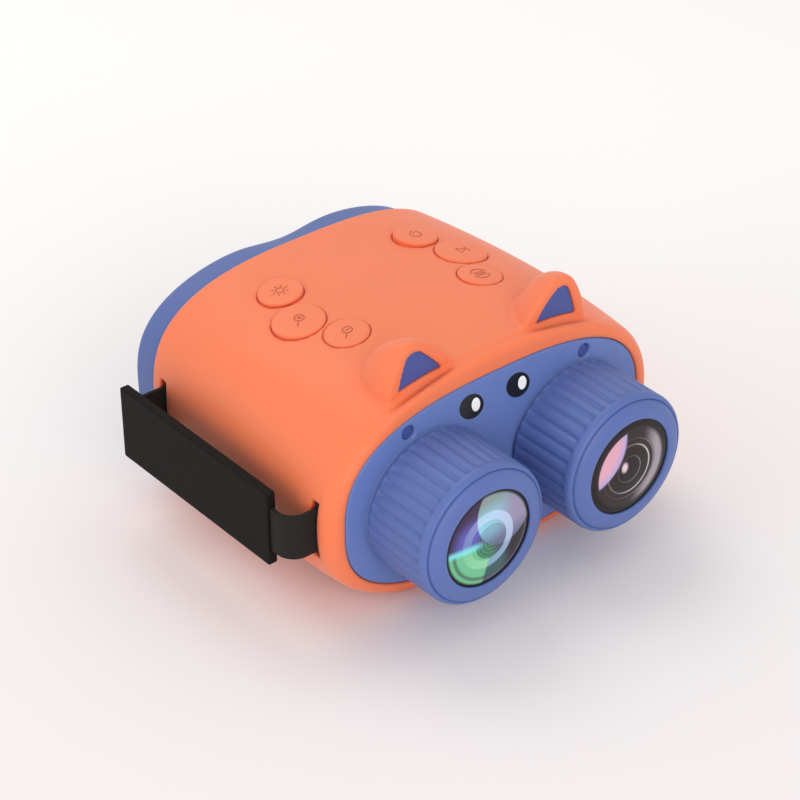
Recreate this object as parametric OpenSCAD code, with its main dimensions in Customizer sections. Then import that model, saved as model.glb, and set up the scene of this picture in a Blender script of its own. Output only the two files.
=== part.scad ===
// Kids digital camera shaped like binoculars: a blue camera body in an orange silicone
// sleeve with cat ears, two turning lens rings, six keys, a port flap and a side hand strap.
// Millimetres. +Z up, lenses face -Y, the eye hood faces +Y, the strap is on the -X side.
// The origin is on the flat base, in the middle of the body.

/* [Body] */
// Height of the lens axes above the base
axis_z = 35; // [34.5:0.1:35.5]
// Thickness of the silicone sleeve
sleeve_t = 2.2; // [1.9:0.1:2.3]
// Wall thickness of the housing
housing_t = 1.8; // [1.6:0.1:2]
// Points around each body section
section_k = 56; // [40:8:72]

/* [Lens rings] */
// Distance between the two lens axes
lens_spacing = 55.4; // [54.8:0.1:56]
// Radius over the ribs at the base of a ring
ring_r = 23.1; // [22.8:0.1:23.4]
// Depth of the front face of a ring, in front of the origin
ring_front = 74.9; // [74.2:0.1:75.4]
// Number of grooves round a ring
ring_grooves = 36; // [24:1:40]
// Radius of the visible glass
glass_r = 16.2; // [15.8:0.1:16.3]

/* [Keys] */
// Radius of the small keys
key_small_r = 7; // [6:0.1:7.4]
// Radius of the middle keys
key_large_r = 8.25; // [7.5:0.1:8.4]
// Height of a key above the sleeve
key_proud = 0.7; // [0.5:0.1:1]
// Travel of a key
key_travel = 0.8; // [0.4:0.1:0.8]

/* [Strap] */
// Width of the webbing
webbing_w = 15; // [12:0.5:15]
// Thickness of the webbing
webbing_t = 1.4; // [1.1:0.1:1.4]
// Width of the strap pad
pad_w = 25; // [20:1:30]
// Thickness of the strap pad
pad_t = 3.1; // [2.9:0.1:3.5]

/* [Hidden] */
$fn = 48;

orange = [0.95, 0.46, 0.29];
blue = [0.34, 0.43, 0.71];
black = [0.09, 0.09, 0.10];
board_green = [0.10, 0.38, 0.24];
steel = [0.72, 0.73, 0.75];
glass = [0.45, 0.55, 0.70];
gold = [0.80, 0.62, 0.28];

lens_x = lens_spacing / 2;

// Body section at the front, middle and rear of the sleeve:
// [y, half width, height above the axis, depth below the axis, roundness]
sec_front = [-41.5, 63.6, 38.8, 38.6, 2.28];
sec_mid = [0, 61.7, 37.5, 36.0, 2.95];
sec_rear = [46.2, 58.7, 36.0, 34.5, 2.88];
// Outline of the face plate where it leaves the sleeve's lip
plate = [-46.8, 57.2, 31.7, 31.6, 2.68];
gap = 0.2;
housing_in = sleeve_t + gap;              // housing's outer face, inside the sleeve's
cavity_in = housing_in + housing_t;       // housing's inner face
lip_y = -46.8;
flange_y = -43.9;                         // front of the face plate's hidden flange
housing_y0 = -42.5;
housing_y1 = 44;
cover_y1 = 46.1;
hood_y1 = 57.75;
dome_h = 1.2;                             // crown of the face plate

// Lens parts are drawn with +z forward along the lens axis
pad_z = 48.4;
ring_base = 48.6;
spigot_r = 17.4;
spigot_bore = 15.1;
spigot_end = 66;
snap_r = 17.9;
cam_z = [53.2, 58.8];
pin_z = 56;
seat_z = ring_front - 1.1;
glass_t = 2.1;
bezel_t = 2.2;
bead_z = ring_front - 3.4;                // middle of the bead round a ring's front
seat_r = glass_r + 0.7;
run = 0.1;                                // radial running clearance

key_tilt = 8.5;
key_surface = 74.4;                       // sleeve surface along a key's own axis
key_bottom = key_surface - 1.65;
key_gap = 0.25;
key_floor = key_bottom - key_travel - 0.25;
stem_r = 2;
plunger_top = 67.58;
stem_end = plunger_top + key_travel + 0.02;
switch_board_z = 62.6;
board_t = 1.2;
// Rear, middle and front key of a side in its tilted frame: [x, y, radius]
key_spots = [[15.6, 22.5, key_small_r], [20.9, 6.7, key_large_r], [15.0, -8.8, key_small_r]];
switch_post_spots = [[24, 22], [24, -10]];

screw_spots = [[34, 59.4], [-34, 59.4], [34, 10.4], [-34, 10.4]];
screw_seat = 44.6;
rear_screw_spots = [[44, 55], [-44, 55], [44, 15], [-44, 15]];
cover_post_spots = [[35.5, 54], [-35.5, 54], [35.5, 16], [-35.5, 16]];
sensor_post = 15.5;

bar_r = 1.5;
loop_r = bar_r + 0.1 + webbing_t / 2;
slot_front_y = -39.6;
slot_rear_y = 40;
bar_front = [-55.3, slot_front_y + loop_r];
bar_rear = [-51.2, slot_rear_y - loop_r];
pad_x = -71.95;
pad_y = [-31.5, 41.8];

flap_y = [-3, 28];
flap_z = [27.5, 40.5];
flap_slope = 3.4;
flap_hinge_x = 60.35;
flap_gap = 0.3;

tripod_y = 20;
speaker_y = -23;

// Value at y of a smooth curve through its front, middle and rear values
function along(i, y) =
    let (yf = sec_front[0], yr = sec_rear[0])
    sec_front[i] * y * (y - yr) / (yf * (yf - yr))
    + sec_mid[i] * (y - yf) * (y - yr) / (yf * yr)
    + sec_rear[i] * y * (y - yf) / (yr * (yr - yf));
function body_section(y) = [y, along(1, y), along(2, y), along(3, y), along(4, y)];
function signed_pow(v, e) = sign(v) * pow(abs(v), e);

// Closed ring of points of section s, moved in by d and placed at y
function section_ring(s, d, y) =
    let (b = (s[2] + s[3]) / 2, mid = (s[2] - s[3]) / 2, e = 2 / s[4])
    [for (i = [0:section_k - 1])
        let (t = 360 * i / section_k)
        [(s[1] - d) * signed_pow(cos(t), e), y,
         max(d, axis_z + mid + (b - d) * signed_pow(sin(t), e))]];
function body_ring(y, d) = section_ring(body_section(y), d, y);
// Places where the skins of the sleeve and the housing have a section
stations = [-33, -25, -15, -5, 5, 15, 24, 32, 39];
function backwards(v) = [for (i = [len(v) - 1:-1:0]) v[i]];
function mix_rings(p, q, t) = [for (i = [0:len(p) - 1]) p[i] * (1 - t) + q[i] * t];

// Height of the body's surface, moved in by d, above x at y; side is 1 for top, -1 for base
function wall_z(x, y, d, side) =
    let (s = body_section(y), b = (s[2] + s[3]) / 2 - d, mid = (s[2] - s[3]) / 2)
    max(d, axis_z + mid + side * b * pow(1 - pow(abs(x) / (s[1] - d), s[4]), 1 / s[4]));

// Skin over rings of points; loop joins the last ring to the first, as for a sleeve
module skin(rings, loop = false) {
    k = len(rings[0]);
    n = len(rings);
    sides = [for (j = [0:n - (loop ? 1 : 2)], i = [0:k - 1])
        let (i2 = (i + 1) % k, j2 = (j + 1) % n)
        each [[j * k + i, j * k + i2, j2 * k + i2], [j * k + i, j2 * k + i2, j2 * k + i]]];
    caps = loop ? [] : [[for (i = [k - 1:-1:0]) i], [for (i = [0:k - 1]) (n - 1) * k + i]];
    polyhedron([for (r = rings) each r], concat(sides, caps), 4);
}

// Frames
module lens_frame(side) {
    translate([side * lens_x, 0, axis_z]) rotate([90, 0, 0]) children();
}
module front_frame(x, z) {
    translate([x, 0, z]) rotate([90, 0, 0]) children();
}
module key_frame(side) {
    rotate([0, side * key_tilt, 0]) children();
}
module at_key(side, i) {
    key_frame(side) translate([side * key_spots[i][0], key_spots[i][1], 0]) children();
}
module ring_shape(r_out, r_in, h) {
    difference() {
        cylinder(r = r_out, h = h);
        translate([0, 0, -1]) cylinder(r = r_in, h = h + 2);
    }
}
// Strip of constant thickness along a 2D path
function path_normal(p, i) =
    let (a = p[max(i - 1, 0)], b = p[min(i + 1, len(p) - 1)], d = (b - a) / norm(b - a))
    [-d[1], d[0]];
function strip(p, t) = concat(
    [for (i = [0:len(p) - 1]) p[i] + path_normal(p, i) * t / 2],
    [for (i = [len(p) - 1:-1:0]) p[i] - path_normal(p, i) * t / 2]);
function arc_points(c, r, a0, a1, n) =
    [for (i = [0:n]) let (a = a0 + (a1 - a0) * i / n) c + r * [cos(a), sin(a)]];

// ---- Sleeve, housing and plates ----

lip_steps = [0, 30, 60];
function lip_outer(t) = mix_rings(
    section_ring(plate, -1, 0), body_ring(sec_front[0], 0), sin(t));
function at_y(r, y) = [for (p = r) [p[0], y, p[2]]];

module sleeve_skin() {
    fillet = sec_front[0] - lip_y;
    outer = concat(
        [at_y(section_ring(plate, -gap, 0), lip_y + 0.3)],
        [for (t = lip_steps) at_y(lip_outer(t), sec_front[0] - fillet * cos(t))],
        [for (y = concat([sec_front[0]], stations, [sec_rear[0]])) body_ring(y, 0)]);
    inner = [for (y = concat([sec_rear[0]], backwards(stations), [sec_front[0], flange_y - gap]))
        at_y(body_ring(max(y, sec_front[0]), sleeve_t), y)];
    skin(concat(outer, inner, [at_y(section_ring(plate, -gap, 0), flange_y - gap)]), true);
}

// Ear outline in the front view, from its base on one side over the tip to the other
ear_outline = concat(
    arc_points([26, 67], 12.1, -22, 30, 4),
    arc_points([27.8, 77.3], 7.6, 34, 130, 7),
    [[16.4, 77.3], [12, 72], [9, 67.2], [7.2, 63.6]]);
// Ear as a quarter dome: the outline shrinks to its base and leans outwards as it goes back
module ear(side) {
    base = [26.4, 61.9];
    depth = 18.8;
    front = -42.6;
    lean = [3.9, 0];
    rings = [for (u = [0, 0.07, 0.3, 0.52, 0.72, 0.88, 0.97])
        let (s = u == 0 ? 0.95 : sqrt(1 - u * u))
        [for (p = ear_outline) let (q = base + s * (p - base) + u * lean)
            [q[0], front + depth * u, q[1]]]];
    mirror([side < 0 ? 1 : 0, 0, 0]) skin(rings);
}
module insert_outline(grow) {
    tip = [28.6, 79];
    low = [18.8, 73];
    high = [33.3, 71];
    polygon(concat(
        arc_points(high, 0.6 + grow, -80, 10, 3),
        arc_points(tip, 3 + grow, 22, 120, 6),
        [[22.4 - 0.7 * grow, 78.1 + 0.7 * grow]],
        arc_points(low, 0.6 + grow, 145, 260, 3)));
}
module at_ear(side, y) {
    mirror([side < 0 ? 1 : 0, 0, 0]) translate([0, y, 0]) rotate([90, 0, 0]) children();
}

module silicone_sleeve() color(orange) difference() {
    union() {
        sleeve_skin();
        for (side = [-1, 1]) ear(side);
    }
    for (side = [-1, 1]) {
        for (i = [0:2]) at_key(side, i) translate([0, 0, key_floor - 2])
            cylinder(r = key_spots[i][2] + key_gap, h = 12);
        at_ear(side, -40.9) linear_extrude(5) insert_outline(0.05);
    }
    ear_core();
    strap_slots(webbing_w + 4);
    translate([flap_hinge_x, flap_y[1], 0]) rotate([0, 0, flap_slope])
        translate([-5, flap_y[0] - flap_y[1], flap_z[0]])
        cube([10, flap_y[1] - flap_y[0], flap_z[1] - flap_z[0]]);
    translate([0, tripod_y, -1]) cylinder(r = 5.2, h = 6);
    speaker_holes();
}
// The space behind the ears that belongs to the housing
module ear_core() {
    skin([for (y = [-43.2, -20]) at_y(body_ring(max(y, sec_front[0]), sleeve_t), y)]);
}
module ear_inserts() color(blue) for (side = [-1, 1])
    at_ear(side, -40.95) linear_extrude(0.9) insert_outline(0);

module strap_slots(height) {
    for (s = [[slot_front_y, -66], [slot_rear_y, -62]])
        translate([s[1], s[0] - 1.5, axis_z - height / 2]) cube([12, 3, height]);
}
module speaker_holes() {
    translate([50, speaker_y, axis_z]) rotate([0, 90, 0]) {
        cylinder(r = 0.9, h = 20);
        for (a = [0:60:300]) rotate(a) translate([4, 0, 0]) cylinder(r = 0.9, h = 20);
    }
}
module housing_post(x, z, y0, y1, r) {
    side = z > axis_z ? 1 : -1;
    wall = wall_z(x, (y0 + y1) / 2, housing_in + housing_t / 2, side);
    translate([x, y1, z]) rotate([90, 0, 0]) cylinder(r = r, h = y1 - y0);
    translate([x - 1, y0, min(z, wall)]) cube([2, y1 - y0, abs(wall - z)]);
}
module bar_block(bar, wall_x) {
    for (z = [axis_z - 12.5, axis_z + 8.5])
        translate([wall_x, bar[1] - 2.2, z]) cube([bar[0] + 2.2 - wall_x, 4.4, 4]);
}
module housing() color(blue) difference() {
    union() {
        skin(concat(
            [for (y = concat([housing_y0, sec_front[0]], stations, [housing_y1]))
                at_y(body_ring(max(y, sec_front[0]), housing_in), y)],
            [for (y = concat([housing_y1], backwards(stations), [housing_y0]))
                at_y(body_ring(max(y, sec_front[0]), cavity_in), y)]), true);
        for (s = screw_spots) housing_post(s[0], s[1], housing_y0, -33, 2.9);
        for (s = rear_screw_spots) housing_post(s[0], s[1], 34.5, housing_y1, 2.6);
        for (side = [-1, 1], p = switch_post_spots) key_frame(side)
            translate([side * p[0], p[1], switch_board_z + board_t]) cylinder(r = 2.2, h = 6.3);
        bar_block(bar_front, -58.4);
        bar_block(bar_rear, -55);
        translate([0, tripod_y, housing_in + 0.5]) cylinder(r = 7.5, h = 8);
        for (y = [-3.5, 26.5]) translate([43, y, 27.6]) cube([y < 0 ? 15.4 : 13.2, 3, 3.4]);
    }
    for (side = [-1, 1]) {
        for (i = [0:2]) at_key(side, i) {
            translate([0, 0, key_floor]) cylinder(r = key_spots[i][2] + 0.5, h = 10);
            translate([0, 0, 60]) cylinder(r = stem_r + 0.15, h = 20);
        }
        for (p = switch_post_spots) key_frame(side)
            translate([side * p[0], p[1], switch_board_z]) cylinder(r = 0.85, h = 6);
    }
    for (s = screw_spots) front_frame(s[0], s[1]) translate([0, 0, 34]) cylinder(r = 1, h = 10);
    for (s = rear_screw_spots) front_frame(s[0], s[1])
        translate([0, 0, -46]) cylinder(r = 1, h = 10);
    strap_slots(webbing_w + 3);
    for (b = [bar_front, bar_rear]) translate([b[0], b[1], axis_z - 13])
        cylinder(r = bar_r, h = 26);
    translate([0, tripod_y, -1]) cylinder(r = 4.5, h = 14);
    translate([52, -0.5, 31.9]) cube([12, 10, 3.8]);
    translate([52, 11.5, 31.9]) cube([12, 14.8, 2.6]);
    for (y = [-2, 28]) translate([46, y, 28]) cylinder(r = 0.85, h = 6);
    speaker_holes();
}

// Place of the face plate's dome for a share s of the way out from its middle
function dome_y(s) = lip_y + 0.2 - dome_h * (1 - s * s);
function plate_ring(s, d, y) =
    section_ring([0, (plate[1] - d) * s, (plate[2] - d) * s, (plate[3] - d) * s, plate[4]], 0, y);
module eye_place(side) {
    translate([side * 9 - 1.6, -46.75, 58.7]) rotate([90 - 3, 0, 0]) children();
}
module oval(w, h, t) linear_extrude(t)
    polygon([for (a = [0:15:345]) [w * cos(a), h * sin(a)]]);

module face_plate() color(blue) difference() {
    union() {
        skin(concat(
            [for (s = [0.15, 0.45, 0.7, 0.88, 1]) plate_ring(s, 0, dome_y(s))],
            [at_y(plate_ring(1, 0, 0), flange_y),
             at_y(body_ring(sec_front[0], housing_in), flange_y),
             at_y(body_ring(sec_front[0], housing_in), housing_y0 - 0.05)]));
        for (side = [-1, 1]) lens_frame(side) {
            translate([0, 0, 43]) cylinder(r = 22, h = pad_z - 43);
            translate([0, 0, 43]) cylinder(r = spigot_r, h = spigot_end - 43);
            translate([0, 0, spigot_end - 1.8]) cylinder(r = snap_r, h = 1.6);
            for (s = [-1, 1]) translate([s * sensor_post, -s * sensor_post, 41.2])
                cylinder(r = 2.2, h = 3);
        }
    }
    // hollows in the back, between the spigots
    translate([-19, -44.7, 56.5]) cube([38, 8, 7.5]);
    translate([-4, -44.7, 24]) cube([8, 8, 24]);
    for (side = [-1, 1]) {
        lens_frame(side) {
            translate([0, 0, 40]) cylinder(r = spigot_bore, h = 40);
            translate([0, 0, 50.5]) ring_shape(spigot_r + 1, spigot_r - 0.9, 1.1);
            translate([-1.15, spigot_bore - 1, pin_z - 2.7]) cube([2.3, 5, 5.4]);
            for (s = [-1, 1]) translate([s * sensor_post, -s * sensor_post, 40])
                cylinder(r = 0.85, h = 4.4);
        }
        eye_place(side) oval(4.6, 4.15, 5);
    }
    for (s = screw_spots) front_frame(s[0], s[1]) {
        translate([0, 0, screw_seat]) cylinder(r = 2.3, h = 10);
        translate([0, 0, 40]) cylinder(r = 1.05, h = 10);
    }
    front_frame(0, 15) {
        translate([0, 0, 40]) cylinder(r = 3.1, h = 4.5);
        translate([0, 0, 40]) cylinder(r = 0.6, h = 12);
    }
}
module eye_discs() color(black) for (side = [-1, 1]) eye_place(side) difference() {
    oval(4.55, 4.1, 0.5);
    translate([1.6, 0.1, 0.3]) oval(1.7, 2.3, 1);
}
module eye_glints() color("white") for (side = [-1, 1])
    eye_place(side) translate([1.6, 0.1, 0.3]) oval(1.65, 2.25, 0.22);

module rounded_bar(w, h, r, y0, y1) {
    translate([0, y1, axis_z]) rotate([90, 0, 0]) linear_extrude(y1 - y0)
        hull() for (x = [-1, 1], z = [-1, 1])
            translate([x * (w / 2 - r), z * (h / 2 - r)]) circle(r = r, $fn = 32);
}
module rear_cover() color(blue) difference() {
    union() {
        skin([for (y = [housing_y1 + 0.05, cover_y1]) at_y(body_ring(housing_y1, housing_in), y)]);
        for (s = cover_post_spots) translate([s[0], housing_y1 + 0.5, s[1]]) rotate([90, 0, 0])
            cylinder(r = 2.4, h = housing_y1 + 0.5 - 34.7);
    }
    rounded_bar(57, 33, 2, 40, 50);
    rounded_bar(62.3, 38.3, 2.5, 44.9, 50);
    for (s = rear_screw_spots) front_frame(s[0], s[1]) translate([0, 0, -50]) {
        cylinder(r = 1.05, h = 10);
        cylinder(r = 2.3, h = 4.9);
    }
    for (s = cover_post_spots) front_frame(s[0], s[1])
        translate([0, 0, -38.9]) cylinder(r = 0.85, h = 6);
}

// Rear edge of the hood: two rounded brows over a dip, and a notch for the nose
hood_rear = [0, 57, 33.0, 31.6, 2.7];
function hood_ring(t, d, y) =
    let (p = body_ring(housing_y1, housing_in + d), q = section_ring(hood_rear, d, y))
    [for (i = [0:len(p) - 1])
        let (m = p[i] * (1 - t) + q[i] * t, up = m[2] > axis_z)
        [m[0], y, m[2] + t * (up ? -2.6 : 7) * exp(-pow(m[0] / (up ? 13 : 11), 2))]];
module eye_hood() color(blue) {
    wall = 2.2;
    y0 = cover_y1 + 0.05;
    steps = [0, 0.35, 0.7, 0.95];
    skin(concat(
        [for (t = steps) hood_ring(t, 0, y0 + (hood_y1 - y0) * t)],
        [hood_ring(1, 0.7, hood_y1), hood_ring(1, wall - 0.7, hood_y1)],
        [for (i = [3:-1:1]) hood_ring(steps[i], wall, y0 + (hood_y1 - y0) * steps[i])],
        [hood_ring(0, wall, y0 + 2), hood_ring(0, 6, y0 + 2), hood_ring(0, 6, y0)]), true);
}
module display_window() color(glass) rounded_bar(62, 38, 2.4, 44.9, cover_y1);
module display_gasket() color(black) difference() {
    rounded_bar(66, 42, 2, 42.9, 44);
    rounded_bar(57, 33, 2, 42, 45);
}
module display_panel() color(black) rounded_bar(64, 40, 1.5, 40.2, 42.9);

// ---- Boards and electronics ----

module chip(x, z, w, h, y, t) translate([x - w / 2, y, z - h / 2]) cube([w, t, h]);
module main_board() color(board_green) {
    difference() {
        translate([-40, 33.5, axis_z - 23]) cube([80, board_t, 46]);
        for (s = cover_post_spots) front_frame(s[0], s[1])
            translate([0, 0, -40]) cylinder(r = 0.9, h = 10);
    }
    chip(-8, 38, 12, 12, 32.3, 1.2);
    chip(14, 40, 8, 10, 32.5, 1);
    chip(-26, 28, 7, 5, 32.1, 1.4);
    chip(0, 15.5, 9, 4, 30.5, 3);
}
module port_board() color(board_green) difference() {
    translate([38, -5, 31]) cube([17.4, 35, board_t]);
    for (y = [-2, 28]) translate([46, y, 30]) cylinder(r = 0.9, h = 4);
}
module usb_socket() color(steel) difference() {
    translate([49.5, 0, 32.2]) cube([9.1, 9, 3.2]);
    translate([51, 0.5, 32.6]) cube([9, 8, 2.4]);
}
module card_socket() color(steel) difference() {
    translate([44, 12, 32.2]) cube([13.4, 13.8, 2]);
    translate([46, 13.2, 32.5]) cube([12, 11.4, 1.2]);
}
module switch_board(side) color(board_green) key_frame(side) difference() {
    translate([side > 0 ? 9.5 : -27, -15, switch_board_z]) cube([17.5, 44, board_t]);
    for (p = switch_post_spots) translate([side * p[0], p[1], switch_board_z - 1])
        cylinder(r = 0.9, h = 4);
}
module switch_board_left() switch_board(-1);
module switch_board_right() switch_board(1);
module tact_switches() color(black) for (side = [-1, 1], i = [0:2]) at_key(side, i) {
    z = switch_board_z + board_t;
    translate([-3, -3, z]) cube([6, 6, 3.2]);
    translate([0, 0, z + 3]) cylinder(r = 1.75, h = plunger_top - z - 3);
}
module lens_board(side) color(board_green) lens_frame(side) difference() {
    translate([-18, -18, 41.2 - board_t]) cube([36, 36, board_t]);
    for (s = [-1, 1]) translate([s * sensor_post, -s * sensor_post, 38])
        cylinder(r = 0.9, h = 5);
}
module camera_board() lens_board(-1);
module lamp_board() lens_board(1);
module image_sensor() color(gold) lens_frame(-1) translate([-4, -4, 41.2]) cube([8, 8, 1]);
module sensor_holder() color(black) lens_frame(-1) difference() {
    translate([-7, -7, 41.2]) cube([14, 14, 3]);
    translate([-4.5, -4.5, 40]) cube([9, 9, 5]);
    translate([-5.2, -5.2, 43.1]) cube([10.4, 10.4, 2]);
}
module ir_cut_filter() color(glass) lens_frame(-1) translate([-5.1, -5.1, 43.1])
    cube([10.2, 10.2, 0.5]);
module ir_lamp() color("white") lens_frame(1) {
    translate([-3.5, -3.5, 41.2]) cube([7, 7, 1.6]);
    translate([0, 0, 42.7]) rotate_extrude() intersection() {
        circle(r = 2.8, $fn = 32);
        square([3, 3]);
    }
}
module ring_seal(side) color(black) lens_frame(side) translate([0, 0, 51.05])
    rotate_extrude() translate([spigot_r - 0.42, 0]) circle(r = 0.45, $fn = 20);
module ring_seal_left() ring_seal(-1);
module ring_seal_right() ring_seal(1);

module battery_cell() color(steel) translate([-26, -30, 5.4]) {
    cube([52, 38, 8.6]);
    translate([3, 38, 2.8]) cube([46, 2.5, 3]);
}
// Flat twin-core leads
module battery_lead() color("red") translate([-2.4, 0, 0]) rotate([90, 0, 90])
    linear_extrude(4.8) polygon(strip([[11.2, 9], [11.2, 12], [13, 15.5], [16, 17],
        [26, 17], [30.2, 15.5]], 1.2));
module speaker() color(black) translate([0, speaker_y, axis_z]) rotate([0, 90, 0]) {
    translate([0, 0, 54.9]) ring_shape(12, 9.5, 1.9);
    translate([0, 0, 53.9]) cylinder(r = 12, h = 1.1);
    translate([0, 0, 50.9]) cylinder(r = 7, h = 3.1);
}
module speaker_lead() color("red") translate([0, 0, axis_z - 1.6]) linear_extrude(3.2)
    polygon(strip([[50.8, speaker_y], [46, speaker_y], [41, -20], [36, 8], [36, 33.4]], 1));
module microphone() color(steel) front_frame(0, 15) translate([0, 0, 42]) cylinder(r = 3, h = 2.4);
module tripod_insert() color(gold) difference() {
    translate([0, tripod_y, 0.2]) cylinder(r = 4.5, h = 9.6);
    translate([0, tripod_y, -1]) cylinder(r = 2.59, h = 9.4);
}
module sensor_ribbon() color(gold) translate([-31, 0, 0]) rotate([90, 0, 90]) linear_extrude(6)
    polygon(strip([[-39.9, 30], [-34, 30], [-30, 27], [-10, 24.5], [20, 24.5], [30, 27],
        [32, 27]], 0.2));
module display_ribbon() color(gold) translate([-12, 0, 0]) rotate([90, 0, 90])
    linear_extrude(24) polygon(strip([[40.1, 50], [38.5, 50], [36.5, 46], [34.8, 46]], 0.2));

module screw(head_r, head_h, shank_r, length) {
    cylinder(r = head_r, h = head_h);
    translate([0, 0, -length]) cylinder(r = shank_r, h = length);
}
module case_screws() color(steel) {
    for (s = screw_spots) front_frame(s[0], s[1]) translate([0, 0, screw_seat])
        screw(1.9, 1.3, 0.95, 8);
    for (s = rear_screw_spots) front_frame(s[0], s[1]) translate([0, 0, -45.1])
        rotate([180, 0, 0]) screw(1.9, 0.95, 0.95, 7.8);
}
module board_screws() color(steel) {
    length = 4;
    for (side = [-1, 1]) {
        lens_frame(side) for (s = [-1, 1])
            translate([s * sensor_post, -s * sensor_post, 41.2 - board_t])
            rotate([180, 0, 0]) screw(1.6, 0.9, 0.8, length);
        key_frame(side) for (p = switch_post_spots)
            translate([side * p[0], p[1], switch_board_z]) rotate([180, 0, 0])
            screw(1.6, 0.9, 0.8, length);
    }
    for (s = cover_post_spots) front_frame(s[0], s[1]) translate([0, 0, -33.5])
        screw(1.6, 0.9, 0.8, length);
    for (y = [-2, 28]) translate([46, y, 31 + board_t]) screw(1.6, 0.9, 0.8, length);
}

// ---- Strap ----

strap_path = concat(
    [bar_front + [0.6, -loop_r], [-60, slot_front_y - 0.2], [-65.5, slot_front_y - 0.2]],
    arc_points([-66.45, slot_front_y + 5.3], 5.5, 260, 180, 7),
    [[pad_x, -20], [pad_x, 30]],
    arc_points([pad_x + 3, slot_rear_y - 3], 3, 180, 90, 5),
    [[-62, slot_rear_y], bar_rear + [0.6, loop_r]]);
module strap_bars() color(steel) for (b = [bar_front, bar_rear])
    translate([b[0], b[1], axis_z - 12.4]) cylinder(r = bar_r, h = 24.8);
module strap_webbing() color(black) translate([0, 0, axis_z - webbing_w / 2]) {
    linear_extrude(webbing_w) polygon(strip(strap_path, webbing_t));
    for (b = [bar_front, bar_rear]) translate(b)
        ring_shape(loop_r + webbing_t / 2 - 0.12, bar_r + 0.03, webbing_w);
}
module strap_pad() color(black) difference() {
    translate([pad_x - pad_t / 2, pad_y[0], axis_z - pad_w / 2])
        cube([pad_t, pad_y[1] - pad_y[0], pad_w]);
    translate([0, 0, axis_z - webbing_w / 2 - 0.2]) linear_extrude(webbing_w + 0.4)
        polygon(strip(strap_path, webbing_t + 0.3));
}

// ---- Lens rings, carriages and lenses ----

function ring_profile() = concat(
    [[spigot_r + run, ring_base], [ring_r, ring_base], [ring_r - 0.3, bead_z]],
    arc_points([ring_r - 2.3, bead_z], 2, 15, 75, 4),
    [[ring_r - 2.1, bead_z + 1.6], [glass_r + 1, ring_front], [glass_r, ring_front - 0.5],
     [glass_r, seat_z], [seat_r, seat_z],
     [seat_r, spigot_end + 0.3], [snap_r + 0.2, spigot_end + 0.3],
     [snap_r + 0.2, spigot_end - 2.1], [spigot_r + run, spigot_end - 2.1],
     [spigot_r + run, cam_z[1]], [spigot_r + 1.2, cam_z[1]], [spigot_r + 1.2, cam_z[0]],
     [spigot_r + run, cam_z[0]]]);
module focus_ring(side) color(blue) lens_frame(side) difference() {
    rotate_extrude($fn = 96) polygon(ring_profile());
    for (i = [0:ring_grooves - 1]) rotate(360 * i / ring_grooves)
        translate([ring_r + 0.1, 0, ring_base - 1])
        cylinder(r = 0.8, h = bead_z - ring_base - 1, $fn = 16);
}
module focus_ring_left() focus_ring(-1);
module focus_ring_right() focus_ring(1);

// Convex disc of glass: flat rim of radius r, crown of height rise inside it
function crown_points(r, rise, z, n) =
    let (big = (r * r + rise * rise) / (2 * rise), span = asin(r / big))
    [for (i = [0:n]) let (a = span * (n - i) / n) [big * sin(a), z - big + rise + big * cos(a)]];
module crowned_disc(r_rim, z0, z1, r, rise) rotate_extrude()
    polygon(concat([[0, z0], [r_rim, z0], [r_rim, z1]], crown_points(r, rise, z1, 6)));
module objective_glass(side) color(glass) lens_frame(side)
    crowned_disc(seat_r - 0.1, seat_z - glass_t, seat_z, glass_r - 0.1, 1.3);
module objective_glass_left() objective_glass(-1);
module objective_glass_right() objective_glass(1);
module bezel(side, inner_r) color(black) lens_frame(side)
    translate([0, 0, seat_z - glass_t - bezel_t]) ring_shape(seat_r - 0.1, inner_r, bezel_t);
module bezel_left() bezel(-1, 14.8);
module bezel_right() bezel(1, 12.4);

// Stepped black tube that carries a lens and slides in a spigot; its pin rides in the ring
module carriage(side, bore, steps) color(black) lens_frame(side) difference() {
    union() {
        translate([0, 0, 50]) cylinder(r = spigot_bore - run, h = 12);
        translate([0, spigot_bore - 2, pin_z]) rotate([-90, 0, 0])
            cylinder(r = 1, h = spigot_r + 1 - spigot_bore + 2);
    }
    translate([0, 0, 48]) cylinder(r = bore, h = 20);
    for (i = [0:steps - 1]) translate([0, 0, 58 + i * 4 / steps])
        cylinder(r = bore + 2.6 + (13.4 - bore - 2.6) * i / (steps - 1), h = 10);
}
module lens_carriage() carriage(-1, 6, 4);
module beam_carriage() carriage(1, 5, 5);
module lens_barrel() color(black) lens_frame(-1) difference() {
    union() {
        translate([0, 0, 46.5]) cylinder(r = 6, h = 12);
        translate([0, 0, 58]) cylinder(r = 8.3, h = 2.2);
    }
    translate([0, 0, 45]) cylinder(r = 4.2, h = 20);
    translate([0, 0, 58.2]) cylinder(r = 6.6, h = 4);
}
module lens_element() color(glass) lens_frame(-1) crowned_disc(6.5, 58.2, 60.2, 6.4, 1.6);
module beam_lens() color(glass) lens_frame(1) crowned_disc(7.3, 58, 60, 7.2, 2.2);

// ---- Keys and flap ----

module key_cap(side, i) color(orange) at_key(side, i) {
    r = key_spots[i][2];
    top = key_surface + key_proud;
    round_r = 0.6;
    rotate_extrude() polygon(concat(
        [[0, key_bottom], [r, key_bottom]],
        arc_points([r - round_r, top - round_r], round_r, 0, 90, 4),
        [[0, top]]));
    translate([0, 0, stem_end]) cylinder(r = stem_r, h = key_bottom - stem_end + 0.2);
}
module key_light() key_cap(-1, 0);
module key_zoom_in() key_cap(-1, 1);
module key_zoom_out() key_cap(-1, 2);
module key_power() key_cap(1, 0);
module key_play() key_cap(1, 1);
module key_menu() key_cap(1, 2);

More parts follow.
